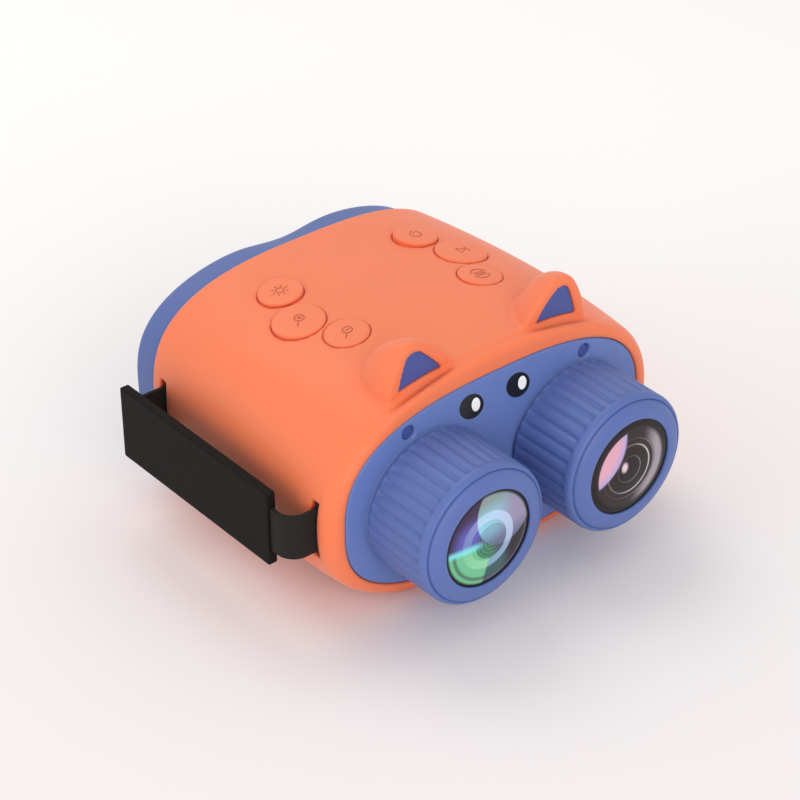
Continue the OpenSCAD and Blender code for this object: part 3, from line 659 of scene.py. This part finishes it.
plate = field_object("face_plate_smooth", plate_field, (-62.5, -67, 0), (62.5, -41.5, 72), FINE,
                     blue_plastic, "camera_body")
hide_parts("face_plate")

inserts = field_object("ear_inserts_smooth", insert_field, (-36, -42.8, 68), (36, -40.4, 86),
                       0.28, insert_blue, "camera_body")
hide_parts("ear_inserts")

flap = field_object("port_flap_smooth", flap_field, (57, -4.5, 26), (64, 29, 42), 0.4,
                    silicone, "flap")
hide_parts("port_flap")


# ---------------------------------------------------------------- printed eyes
EYE_X, EYE_SHIFT, EYE_Z, EYE_SLANT = 9.0, -1.6, 58.7, 0.15


def eye_patch(name, cx, cz, half_w, half_h, lift, material):
    """Oval of ink that follows the crowned plate and stands lift proud of it."""
    turn = np.linspace(0, 2 * math.pi, 64, endpoint=False)
    rows = []
    for share, drop in ((0.02, 0), (0.35, 0), (0.65, 0), (0.9, 0), (0.97, 0.02), (1.0, 0.08),
                        (1.0, 0.6), (0.02, 0.6)):
        x, z = cx + half_w * share * np.cos(turn), cz + half_h * share * np.sin(turn)
        z = z - EYE_SLANT * (x - cx)
        rows.append(np.stack([x, dome_y(x, z) - lift + drop, z], 1))
    faces = grid_faces(len(rows), 64, flip=True)
    faces += [tuple(range(64)), tuple(range(7 * 64, 8 * 64))[::-1]]
    obj = new_object(name, np.concatenate(rows), faces, material, "camera_body", angle=50)
    fix_normals(obj)
    return obj


eyes = join(*[eye_patch(f"eye_{s}", s * EYE_X + EYE_SHIFT, EYE_Z, 4.6, 4.15, 0.10, ink_black)
              for s in (-1, 1)])
eyes.name = "eyes"
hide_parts("eye_discs")
glints = join(*[eye_patch(f"glint_{s}", s * EYE_X + EYE_SHIFT + 1.6, EYE_Z + 0.1, 1.65, 2.3, 0.16,
                          ink_white)
                for s in (-1, 1)])
glints.name = "eye_glints_smooth"
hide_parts("eye_glints")


# ---------------------------------------------------------------- lens rings and glasses
GROOVES = 36
GLASS_RIM = RING_FRONT - 0.7


def ring_rows():
    """(radius, forward, groove depth) down the outside, round the front and up the bore."""
    rows = [(RING_R - 1.2, RING_BASE, 0), (RING_R - 0.4, RING_BASE + 0.05, 0),
            (RING_R, RING_BASE + 0.5, 0.1)]
    end = RING_FRONT - 5.4
    for i in range(13):
        f = RING_BASE + 1 + (end - RING_BASE - 1) * i / 12
        deep = 0.62 * min(1, (i + 1) / 2)
        rows.append((RING_R - 0.05 - 0.25 * i / 12, f, deep))
    rows += [(RING_R - 0.32, end + 0.3, 0.5), (RING_R - 0.3, end + 0.55, 0.22),
             (RING_R - 0.28, end + 0.8, 0.04), (RING_R - 0.27, end + 1.0, 0)]
    # bead, crease and crowned face, as steps inwards from the rim and back from the front
    bead = ((0.3, 3.8), (0.4, 3.2), (0.62, 2.65), (0.95, 2.2), (1.3, 1.98), (1.6, 2.0),
            (1.8, 2.3), (1.98, 2.34), (2.1, 1.85), (2.3, 1.5), (2.8, 1.15), (3.7, 0.74),
            (4.6, 0.4), (5.5, 0.16), (6.2, 0.04), (6.8, 0.0))
    rows += [(RING_R - inwards, RING_FRONT - back, 0) for inwards, back in bead]
    rows += [(r, f, 0) for r, f in arc((GLASS_R + 0.3, RING_FRONT - 0.33), 0.3, 80, 180, 4)]
    rows += [(GLASS_R, GLASS_RIM, 0), (SEAT_R, GLASS_RIM, 0), (SEAT_R, SPIGOT_END + 0.3, 0),
             (SPIGOT_R + 0.7, SPIGOT_END + 0.3, 0), (SPIGOT_R + 0.7, SPIGOT_END - 2.1, 0),
             (SPIGOT_R + 0.1, SPIGOT_END - 2.1, 0), (SPIGOT_R + 0.1, RING_BASE, 0)]
    return rows


def lens_ring(side, name, node, body):
    per_rib = 14
    steps = GROOVES * per_rib
    turn = np.linspace(0, 2 * math.pi, steps, endpoint=False)
    phase = (0.5 + 0.5 * np.cos(GROOVES * turn)) ** 2.4
    rows = [lens_points(side, r - deep * phase, turn, f) for r, f, deep in ring_rows()]
    obj = new_object(name, np.concatenate(rows), grid_faces(len(rows), steps, close_rows=True),
                     ring_blue, body, angle=48)
    fix_normals(obj)
    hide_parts(node)
    return obj


def crowned_glass(side, name, node, body, material, r, rim_z, rise, thick):
    big = (r * r + rise * rise) / (2 * rise)
    span = math.degrees(math.asin(r / big))
    front = [(rr, f) for rr, f in arc((0, rim_z - big + rise), big, 90, 90 - span, 14)]
    profile = front + [(r + 0.5, rim_z), (r + 0.55, rim_z - 0.1), (r + 0.55, rim_z - thick),
                       (0, rim_z - thick)]
    obj = lathe(name, side, profile, material, body, closed=False)
    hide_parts(node)
    return obj


def bezel(side, name, node, body, inner):
    profile = [(SEAT_R - 0.1, SEAT_Z - 4.3), (SEAT_R - 0.1, SEAT_Z - 2.1),
               (inner + 0.5, SEAT_Z - 2.1)]
    profile += arc((inner + 0.5, SEAT_Z - 2.6), 0.5, 90, 180, 4)
    profile += [(inner, SEAT_Z - 4.3)]
    obj = lathe(name, side, profile, lens_black, body)
    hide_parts(node)
    return obj


# ---------------------------------------------------------------- painted reflections and highlights on the glasses
class Disc:
    """Shader coordinates on a lens face: u to the right and v up, in units of the glass radius."""

    def __init__(self, tree, side):
        self.t = tree
        place = tree.add("TexCoord").outputs["Object"]
        xyz = tree.add("SeparateXYZ", {0: place})
        unit = 1 / (GLASS_R * MM)
        self.u = tree.math("MULTIPLY", tree.math("SUBTRACT", xyz.outputs[0],
                                                 side * LENS_X * MM), unit)
        self.v = tree.math("MULTIPLY", tree.math("SUBTRACT", xyz.outputs[2], AXIS_Z * MM), unit)

    def radius(self, cu=0.0, cv=0.0, ru=1.0, rv=1.0):
        t = self.t
        du = t.math("DIVIDE", t.math("SUBTRACT", self.u, cu), ru)
        dv = t.math("DIVIDE", t.math("SUBTRACT", self.v, cv), rv)
        return t.math("SQRT", t.math("ADD", t.math("MULTIPLY", du, du),
                                     t.math("MULTIPLY", dv, dv)))

    def along(self, degrees, offset=0.0):
        """Distance across a line through the centre, along the given direction."""
        a = math.radians(degrees)
        t = self.t
        return t.math("SUBTRACT", t.math("ADD", t.math("MULTIPLY", self.u, math.cos(a)),
                                         t.math("MULTIPLY", self.v, math.sin(a))), offset)

    def inside(self, r, limit, soft):
        return self.t.step(r, limit + soft, limit - soft)

    def band(self, r, low, high, soft):
        t = self.t
        return t.math("MULTIPLY", t.step(r, low - soft, low + soft),
                      t.step(r, high + soft, high - soft))


def times(t, *values):
    result = values[0]
    for v in values[1:]:
        result = t.math("MULTIPLY", result, v)
    return result


def painted_reflection_glass(t, colour, glow):
    """Polished glass carrying painted reflections and highlights as its colour, which also glows
    faintly so they read in any light; a little still shows through.
    """
    smear = t.math("ADD", 0.05, t.math("MULTIPLY", t.step(t.noise(5, 4.0), 0.55, 0.8), 0.04))
    # painted light: the colour also glows (emission), though the glass is no lamp
    shader = t.add("BsdfPrincipled", {
        "Base Color": colour, "Roughness": smear, "Specular IOR Level": 0.25,
        "Emission Color": colour, "Emission Strength": glow, "Alpha": 0.96})
    return t.finish(shader.outputs[0])


def left_painted_reflections():
    """Near lens, all painted reflection and highlight: violet above and green below a bright
    painted streak, a lilac ring lit more on one side, a big painted reflection.
    """
    t = Tree("glass_left_painted_reflections")
    d = Disc(t, -1)
    r = d.radius()
    colour = t.mix(t.step(d.along(0), -0.2, 0.6), srgb(58, 40, 66), srgb(40, 34, 42))
    violet = times(t, t.step(d.along(90), -0.03, 0.08), t.step(d.along(90), 0.75, 0.3),
                   t.step(d.along(180), -0.05, 0.3), d.inside(r, 0.8, 0.16))
    colour = t.mix(t.math("MULTIPLY", violet, 0.85), colour, srgb(92, 90, 176))
    slate = times(t, d.inside(d.radius(0.1, -0.62, 0.42, 0.34), 0.8, 0.35))
    colour = t.mix(slate, colour, srgb(56, 86, 88))
    low_left = t.math("MULTIPLY", t.step(d.along(90), -0.01, -0.05),
                      t.step(d.along(-12, 0.06), 0.03, -0.03))
    green = t.mix(d.band(r, 0.79, 0.86, 0.03), srgb(104, 178, 134), srgb(70, 114, 86))
    colour = t.mix(low_left, colour, green)
    # painted highlight: a lilac ring, brighter towards the lower right
    ring = d.band(d.radius(-0.04, 0.01), 0.42, 0.60, 0.012)
    tone = t.mix(t.step(d.along(60), -0.3, 0.4), srgb(128, 160, 186), srgb(176, 172, 222))
    tone = t.mix(low_left, tone, srgb(136, 200, 158))
    lit = t.math("ADD", 0.4, t.math("MULTIPLY", t.step(d.along(-30), -0.5, 0.15), 0.5))
    colour = t.mix(t.math("MULTIPLY", ring, lit), colour, tone)
    pupil = d.inside(d.radius(0.02, -0.03), 0.36, 0.012)
    dark = t.mix(t.step(d.along(20), -0.12, 0.12), srgb(44, 112, 74), srgb(58, 64, 82))
    dark = t.mix(t.step(d.along(90), 0.0, -0.06), srgb(64, 62, 110), dark)
    # painted highlights: fine bright rings on the dark centre
    ripple_highlights = t.math("ADD", 0.5, t.math("MULTIPLY", t.math("SINE", t.math(
        "MULTIPLY", d.radius(0.06, -0.02), 75.0)), 0.5))
    dark = t.mix(t.math("MULTIPLY", ripple_highlights, 0.18), dark, srgb(150, 170, 180))
    colour = t.mix(pupil, colour, dark)
    # painted highlight: a bright streak across the left half
    streak = times(t, d.band(d.along(90), -0.06, 0.04, 0.07), t.step(d.along(180), 0.08, 0.4),
                   d.inside(r, 0.97, 0.05))
    colour = t.mix(t.math("MULTIPLY", streak, 0.9), colour, srgb(126, 224, 234))
    # painted reflection: a big bright patch in the upper right
    big = d.inside(d.radius(0.38, 0.47), 0.68, 0.015)
    sky = t.mix(t.step(d.along(0), -0.05, 0.62), srgb(140, 200, 216), srgb(150, 142, 172))
    sky = t.mix(t.step(d.along(100), 0.45, 0.85), sky, srgb(134, 152, 150))
    sky = t.mix(t.step(d.along(90), 0.25, -0.15), sky, srgb(104, 112, 140))
    sky = t.mix(t.math("MULTIPLY", ring, 0.6), sky, srgb(186, 208, 236))
    sky = t.mix(times(t, pupil, 0.35), sky, dark)
    colour = t.mix(t.math("MULTIPLY", big, 0.86), colour, sky)
    # painted highlight: a pale band along the lower right of the rim
    rim_highlight = times(t, d.band(r, 0.875, 0.90, 0.012), t.step(d.along(-50), 0.0, 0.6))
    colour = t.mix(t.math("MULTIPLY", rim_highlight, 0.5), colour, srgb(136, 124, 136))
    colour = t.mix(t.step(r, 0.90, 0.965), colour, srgb(10, 10, 12))
    return painted_reflection_glass(t, colour, 0.16)


def right_painted_reflections():
    """Far lens: wide black border, pink painted reflection, dark rings with painted highlights, a
    grey painted crescent of reflection and a painted highlight spot.
    """
    t = Tree("glass_right_painted_reflections")
    d = Disc(t, 1)
    r = d.radius()
    colour = t.mix(t.step(r, 0.3, 0.75), srgb(36, 29, 28), srgb(46, 38, 38))
    # painted reflection: a grey band, brighter towards the right
    shade = t.step(d.along(-12), 0.15, 0.62)
    grey = times(t, d.band(r, 0.60, 0.82, 0.06), shade)
    colour = t.mix(t.math("MULTIPLY", grey, 0.8), colour, srgb(164, 156, 164))
    centre = d.radius(-0.06, 0.0)
    # painted highlights on the dark inner rings, brighter on one side
    for low, high, strength in ((0.50, 0.53, 0.85), (0.27, 0.29, 0.35), (0.63, 0.645, 0.25)):
        lit = t.math("ADD", 0.2, t.math("MULTIPLY", t.step(d.along(-20), -0.2, 0.35), 0.8))
        colour = t.mix(times(t, d.band(centre, low, high, 0.012), lit, strength), colour,
                       srgb(204, 198, 200))
    colour = t.mix(t.math("MULTIPLY", d.inside(centre, 0.26, 0.02), 0.6), colour,
                   srgb(30, 24, 24))
    # painted reflection: a pink crescent at the upper left
    crescent = times(t, d.inside(r, 0.80, 0.012), d.inside(d.radius(-1.21, 0.81), 1.09, 0.03))
    pink = t.mix(d.inside(d.radius(-1.21, 0.81), 0.98, 0.1), srgb(180, 160, 206),
                 srgb(216, 160, 180))
    colour = t.mix(t.math("MULTIPLY", crescent, 0.92), colour, pink)
    # painted highlight: a small bright spot near the centre
    spot = d.inside(d.radius(-0.18, 0.08, 0.07, 0.10), 1.0, 0.5)
    colour = t.mix(t.math("MULTIPLY", spot, 0.9), colour, srgb(228, 196, 206))
    colour = t.mix(t.step(r, 0.82, 0.89), colour, srgb(26, 21, 20))
    return painted_reflection_glass(t, colour, 0.16)


for ring_side, tag, painted_reflections in ((-1, "left", left_painted_reflections()), (1, "right", right_painted_reflections())):
    lens_ring(ring_side, f"ring_{tag}", f"focus_ring_{tag}", f"{tag}_ring")
    crowned_glass(ring_side, f"glass_{tag}", f"objective_glass_{tag}", f"{tag}_ring", painted_reflections,
                  GLASS_R - 0.05, GLASS_RIM, 1.3, GLASS_RIM - SEAT_Z + 2.0)
    bezel(ring_side, f"bezel_{tag}_smooth", f"bezel_{tag}", f"{tag}_ring", GLASS_R - 1.2)


# ---------------------------------------------------------------- keys
def key_frame_matrix(side, spot):
    """Frame of a key: its z runs out along the key's axis from the row's origin."""
    turn = Matrix.Rotation(side * KEY_TILT, 4, "Y")
    return turn @ Matrix.Translation((side * spot[0] * MM, spot[1] * MM, 0))


def tube(points, radius, closed=False, sides=8):
    """Half-sunk round line through flat points, as vertices and faces in millimetres."""
    pts = [np.array(p, float) for p in points]
    n = len(pts)
    verts, faces = [], []
    for i, p in enumerate(pts):
        a = pts[(i - 1) % n] if closed or i > 0 else p
        b = pts[(i + 1) % n] if closed or i < n - 1 else p
        way = (b - a) / np.linalg.norm(b - a)
        across = np.array([-way[1], way[0]])
        for k in range(sides):
            w = 2 * math.pi * k / sides
            flat = p + across * radius * math.cos(w)
            verts.append((flat[0], flat[1], radius * math.sin(w)))
    rows = n if closed else n - 1
    for i in range(rows):
        for k in range(sides):
            j = (i + 1) % n
            faces.append((i * sides + k, i * sides + (k + 1) % sides,
                          j * sides + (k + 1) % sides, j * sides + k))
    if not closed:
        faces += [tuple(range(sides)), tuple(range((n - 1) * sides, n * sides))[::-1]]
    return verts, faces


def circle_line(cx, cy, r, a0=0, a1=360, n=24):
    closed = a1 - a0 == 360
    return arc((cx, cy), r, a0, a1 - (360 / n if closed else 0), n - 1 if closed else n), closed


def magnifier(signs):
    lines = [circle_line(0.7, 0.5, 1.5), ([(-0.4, -0.6), (-2.2, -2.4)], False),
             ([(0.0, 0.5), (1.4, 0.5)], False)]
    return lines + ([([(0.7, -0.2), (0.7, 1.2)], False)] if signs == "plus" else [])


def sun():
    rays = [([(1.9 * math.cos(a), 1.9 * math.sin(a)), (2.7 * math.cos(a), 2.7 * math.sin(a))],
             False) for a in (math.radians(45 * k) for k in range(8))]
    return [circle_line(0, 0, 1.25)] + rays


ICONS = {
    "key_light": sun(),
    "key_zoom_in": magnifier("plus"),
    "key_zoom_out": magnifier("minus"),
    "key_power": [circle_line(0, -0.1, 1.8, 120, 420), ([(0, 0.6), (0, 2.4)], False)],
    "key_play": [([(-1.0, -1.5), (1.6, 0), (-1.0, 1.5)], True), ([(2.3, -1.5), (2.3, 1.5)], False)],
    "key_menu": [([(-1.9, 0.9 * k), (1.9, 0.9 * k)], False) for k in (-1, 0, 1)]
    + [circle_line(0, 0, 2.9, 20, 160), circle_line(0, 0, 2.9, 200, 340)],
}


def key_cap(name, side, spot):
    """Domed silicone cap with a soft edge, its stem, and raised icon lines in painted shade."""
    r, edge, dome = spot[2], 0.62, 0.22
    big = (r * r + dome * dome) / (2 * dome)

    def top(x):
        return KEY_TOP + 0.12 - big + math.sqrt(big * big - x * x)

    profile = [(0, top(0))] + [(x, top(x)) for x in np.linspace(0, r - edge, 10)[1:]]
    start = top(r - edge)
    profile += [(r - edge + edge * math.sin(a), start - edge + edge * math.cos(a))
                for a in np.radians([15, 30, 45, 60, 75, 90])]
    profile += [(r, KEY_BOTTOM), (2, KEY_BOTTOM), (2, STEM_END), (0, STEM_END)]
    steps = 96
    turn = np.linspace(0, 2 * math.pi, steps, endpoint=False)
    points = [np.stack([max(p, 1e-4) * np.cos(turn), max(p, 1e-4) * np.sin(turn),
                        np.full(steps, q)], 1) for p, q in profile]
    faces = grid_faces(len(profile), steps)
    faces += [tuple(range(steps)), tuple(range((len(profile) - 1) * steps, len(profile) * steps))]
    cap = new_object(name + "_cap", np.concatenate(points), faces, silicone, None, angle=50)
    parts = []
    for i, (line, closed) in enumerate(ICONS[name]):
        verts, icon_faces = tube(line, 0.17, closed)
        lifted = [(x, y, z + top(math.hypot(x, y)) - 0.01) for x, y, z in verts]
        parts.append(new_object(f"{name}_icon_{i}", lifted, icon_faces, icon_painted_shade, None))
    join(cap, *parts)
    fix_normals(cap)
    cap.data.transform(key_frame_matrix(side, spot))
    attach(cap, name + "_body")
    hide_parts(name)


for index, (left, right) in enumerate((("key_light", "key_power"), ("key_zoom_in", "key_play"),
                                       ("key_zoom_out", "key_menu"))):
    key_cap(left, -1, KEY_SPOTS[index])
    key_cap(right, 1, KEY_SPOTS[index])


# ---------------------------------------------------------------- eye hood
HOOD_REAR = (57.0, 33.0, 31.6, 2.7)


def outline(section, inset, steps):
    a, top, depth, n = section
    t = np.linspace(0, 2 * math.pi, steps, endpoint=False)
    b, mid = (top + depth) / 2 - inset, (top - depth) / 2
    x = (a - inset) * np.sign(np.cos(t)) * np.abs(np.cos(t)) ** (2 / n)
    z = AXIS_Z + mid + b * np.sign(np.sin(t)) * np.abs(np.sin(t)) ** (2 / n)
    return x, np.maximum(z, inset)


def hood_row(share, inset, y, steps):
    x0, z0 = outline(section_at(44.0), HOUSING_IN + inset, steps)
    x1, z1 = outline(HOOD_REAR, inset, steps)
    x, z = x0 + (x1 - x0) * share, z0 + (z1 - z0) * share
    dip = np.where(z > AXIS_Z, -2.6 * np.exp(-(x / 13) ** 2), 7 * np.exp(-(x / 11) ** 2))
    return np.stack([x, np.full(steps, y), z + share * dip], 1)


def eye_hood():
    steps, wall = 240, 2.2
    length = HOOD_END_Y - HOOD_BASE_Y
    edge = wall / 2
    straight = (length - edge) / length
    rows = [hood_row(t, 0, HOOD_BASE_Y + length * t, steps)
            for t in np.linspace(0, straight, 9)]
    for a in np.radians(np.linspace(15, 165, 11)):
        rows.append(hood_row(1.0, edge * (1 - math.cos(a)), HOOD_END_Y - edge + edge * math.sin(a),
                             steps))
    rows += [hood_row(t, wall, HOOD_BASE_Y + length * t, steps)
             for t in np.linspace(straight, 0.22, 7)]
    rows += [hood_row(0.18, wall + 0.4, HOOD_BASE_Y + 2, steps),
             hood_row(0.1, 5.6, HOOD_BASE_Y + 2, steps),
             hood_row(0.05, 6, HOOD_BASE_Y + 1.7, steps), hood_row(0, 6, HOOD_BASE_Y, steps)]
    obj = new_object("eye_hood_smooth", np.concatenate(rows),
                     grid_faces(len(rows), steps, close_rows=True), hood_blue, "camera_body",
                     angle=55)
    fix_normals(obj)
    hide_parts("eye_hood")


eye_hood()


# ---------------------------------------------------------------- strap
BAR_R, WEB_T = 1.5, 1.4
LOOP_R = BAR_R + 0.1 + WEB_T / 2
BAR_FRONT = np.array([-55.3, SLOTS_Y[0] + LOOP_R])
BAR_REAR = np.array([-51.2, SLOTS_Y[1] - LOOP_R])
PAD_X = (PAD_LOW[0] + PAD_HIGH[0]) / 2


def strap_path():
    """Centre line of the webbing in plan, from round one bar to round the other."""
    front = arc(BAR_FRONT, LOOP_R, 180, -90, 10)
    out = [(-60, SLOTS_Y[0] - 0.2), (-63, SLOTS_Y[0] - 0.25), (-65.5, SLOTS_Y[0] - 0.1)]
    bend = arc((-66.45, SLOTS_Y[0] + 5.3), 5.5, 260, 180, 10)
    run = [(PAD_X, y) for y in np.linspace(-30, SLOTS_Y[1] - 5, 24)]
    turn = arc((PAD_X + 3, SLOTS_Y[1] - 3), 3, 180, 90, 6)
    back = [(-66, SLOTS_Y[1]), (-62, SLOTS_Y[1]), (-57, SLOTS_Y[1])]
    rear = arc(BAR_REAR, LOOP_R, 90, -180, 12)
    return [np.array(p) for p in front + out + bend + run + turn + back + rear]


def webbing():
    """Woven strap with rounded edges, swept along the path."""
    path = strap_path()
    half_w, half_t, corner = (WEB_HIGH[2] - WEB_LOW[2]) / 2, WEB_T / 2 - 0.03, 0.45
    section = []
    for cx, cz, a0 in ((1, 1, 0), (-1, 1, 90), (-1, -1, 180), (1, -1, 270)):
        section += arc((cx * (half_t - corner), cz * (half_w - corner)), corner, a0, a0 + 90, 4)
        if a0 in (90, 270):
            sign = 1 if a0 == 90 else -1
            section += [(-sign * half_t, z) for z in sign * np.linspace(half_w - 1.5,
                                                                       -half_w + 1.5, 9)]
    count, length = len(section), 0.0
    points, uv = [], []
    for i, p in enumerate(path):
        a, b = path[max(i - 1, 0)], path[min(i + 1, len(path) - 1)]
        way = (b - a) / np.linalg.norm(b - a)
        across = np.array([-way[1], way[0]])
        length += np.linalg.norm(p - path[max(i - 1, 0)])
        for off, z in section:
            points.append((p[0] + across[0] * off, p[1] + across[1] * off, AXIS_Z + z))
            uv.append((length, z))
    faces = grid_faces(len(path), count)
    faces += [tuple(range(count))[::-1], tuple(range((len(path) - 1) * count, len(path) * count))]
    obj = new_object("webbing", points, faces, webbing_black, "camera_body", angle=60)
    layer = obj.data.uv_layers.new(name="weave")
    for loop in obj.data.loops:
        layer.data[loop.index].uv = uv[loop.vertex_index]
    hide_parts("strap_webbing")


def pad_field(x, y, z):
    mid = (PAD_LOW + PAD_HIGH) / 2
    half = (PAD_HIGH - PAD_LOW) / 2
    dy, dz = np.abs(y - mid[1]) - half[1], np.abs(z - mid[2]) - half[2]
    plan = round_max(dy, dz, 0.8)
    slab = round_max(plan, np.abs(x - mid[0]) - half[0], 0.5)
    # channel for the webbing, open at the front end and through the inner face at the rear
    tall = np.abs(z - AXIS_Z) - (WEB_HIGH[2] - WEB_LOW[2]) / 2 - 0.2
    run = np.maximum(np.abs(x - mid[0]) - WEB_T / 2 - 0.1, y - SLOTS_Y[1] - 0.85)
    leave = np.maximum(np.abs(y - SLOTS_Y[1] + 0.4) - 1.25, mid[0] - 0.2 - x)
    channel = np.maximum(np.minimum(run, leave), tall)
    return np.maximum(slab, -channel)


webbing()
pad = field_object("strap_pad_smooth", pad_field, PAD_LOW - 0.8, PAD_HIGH + 0.8,
                   0.36, pad_black, "camera_body")
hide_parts("strap_pad")


# ---------------------------------------------------------------- stage, lights and camera
def pale_floor():
    t = Tree("floor")
    place = t.add("SeparateXYZ", {0: t.add("TexCoord").outputs["Object"]})
    away = t.math("ADD", t.math("MULTIPLY", place.outputs[0], 0.64),
                  t.math("MULTIPLY", place.outputs[1], 0.77))
    # painted light: the floor is darker near the camera and brighter farther off, standing in for
    # the fall of light across it
    shade = t.mix(t.step(away, -0.16, 0.34), srgb(237, 231, 231), srgb(251, 249, 247))
    shade = t.mix(t.math("MULTIPLY", t.noise(300, 1.0), 0.08), shade, srgb(222, 214, 216))
    material = t.finish(t.add("BsdfPrincipled", {"Base Color": shade, "Roughness": 0.7,
                                                 "Specular IOR Level": 0.2}).outputs[0])
    mesh = bpy.data.meshes.new("floor")
    size = 6.0
    mesh.from_pydata([(-size, -size, 0), (size, -size, 0), (size, size, 0), (-size, size, 0)], [],
                     [(0, 1, 2, 3)])
    mesh.materials.append(material)
    obj = bpy.data.objects.new("floor", mesh)
    bpy.context.scene.collection.objects.link(obj)


def area_light(name, place, aim, size, power, colour=(1, 1, 1)):
    data = bpy.data.lights.new(name, "AREA")
    data.shape = "DISK"
    data.size, data.energy, data.color = size, power, colour
    obj = bpy.data.objects.new(name, data)
    obj.location = place
    obj.rotation_euler = (Vector(aim) - Vector(place)).to_track_quat("-Z", "Y").to_euler()
    bpy.context.scene.collection.objects.link(obj)


def studio():
    world = bpy.data.worlds.new("studio")
    world.use_nodes = True
    nodes, links = world.node_tree.nodes, world.node_tree.links
    seen = nodes.new("ShaderNodeBackground")
    seen.inputs[0].default_value = srgb(246, 242, 241)
    switch, path = nodes.new("ShaderNodeMixShader"), nodes.new("ShaderNodeLightPath")
    nodes["Background"].inputs[0].default_value = (1.0, 1.0, 1.0, 1)
    nodes["Background"].inputs[1].default_value = 0.77
    links.new(path.outputs["Is Camera Ray"], switch.inputs[0])
    links.new(nodes["Background"].outputs[0], switch.inputs[1])
    links.new(seen.outputs[0], switch.inputs[2])
    links.new(switch.outputs[0], nodes["World Output"].inputs[0])
    bpy.context.scene.world = world
    middle = (0, 0, 0.04)
    area_light("key", (0.05, 0.5, 0.9), middle, 0.6, 2.1)
    area_light("front_fill", (-0.35, -0.9, 0.4), middle, 0.8, 3.9)
    area_light("left_fill", (-0.9, 0.15, 0.4), middle, 0.6, 1.3)


def camera():
    """Telephoto camera above the front corner on the strap side."""
    azimuth, elevation, roll = math.radians(-39.48), math.radians(33.36), math.radians(-0.32)
    distance, target = 0.7883, Vector((0.0002, -0.0015, 0.0334))
    back = Vector((math.sin(azimuth) * math.cos(elevation),
                   -math.cos(azimuth) * math.cos(elevation), math.sin(elevation)))
    right = Vector((math.cos(azimuth), math.sin(azimuth), 0))
    up = back.cross(right)
    turn = Matrix((right, up, back)).transposed() @ Matrix.Rotation(roll, 3, "Z")
    data = bpy.data.cameras.new("camera")
    data.lens, data.sensor_width, data.clip_start = 115.1, 36.0, 0.01
    obj = bpy.data.objects.new("camera", data)
    obj.matrix_world = Matrix.Translation(target + back * distance) @ turn.to_4x4()
    bpy.context.scene.collection.objects.link(obj)
    bpy.context.scene.camera = obj


pale_floor()
studio()
camera()
bpy.context.scene.view_settings.view_transform = "Standard"
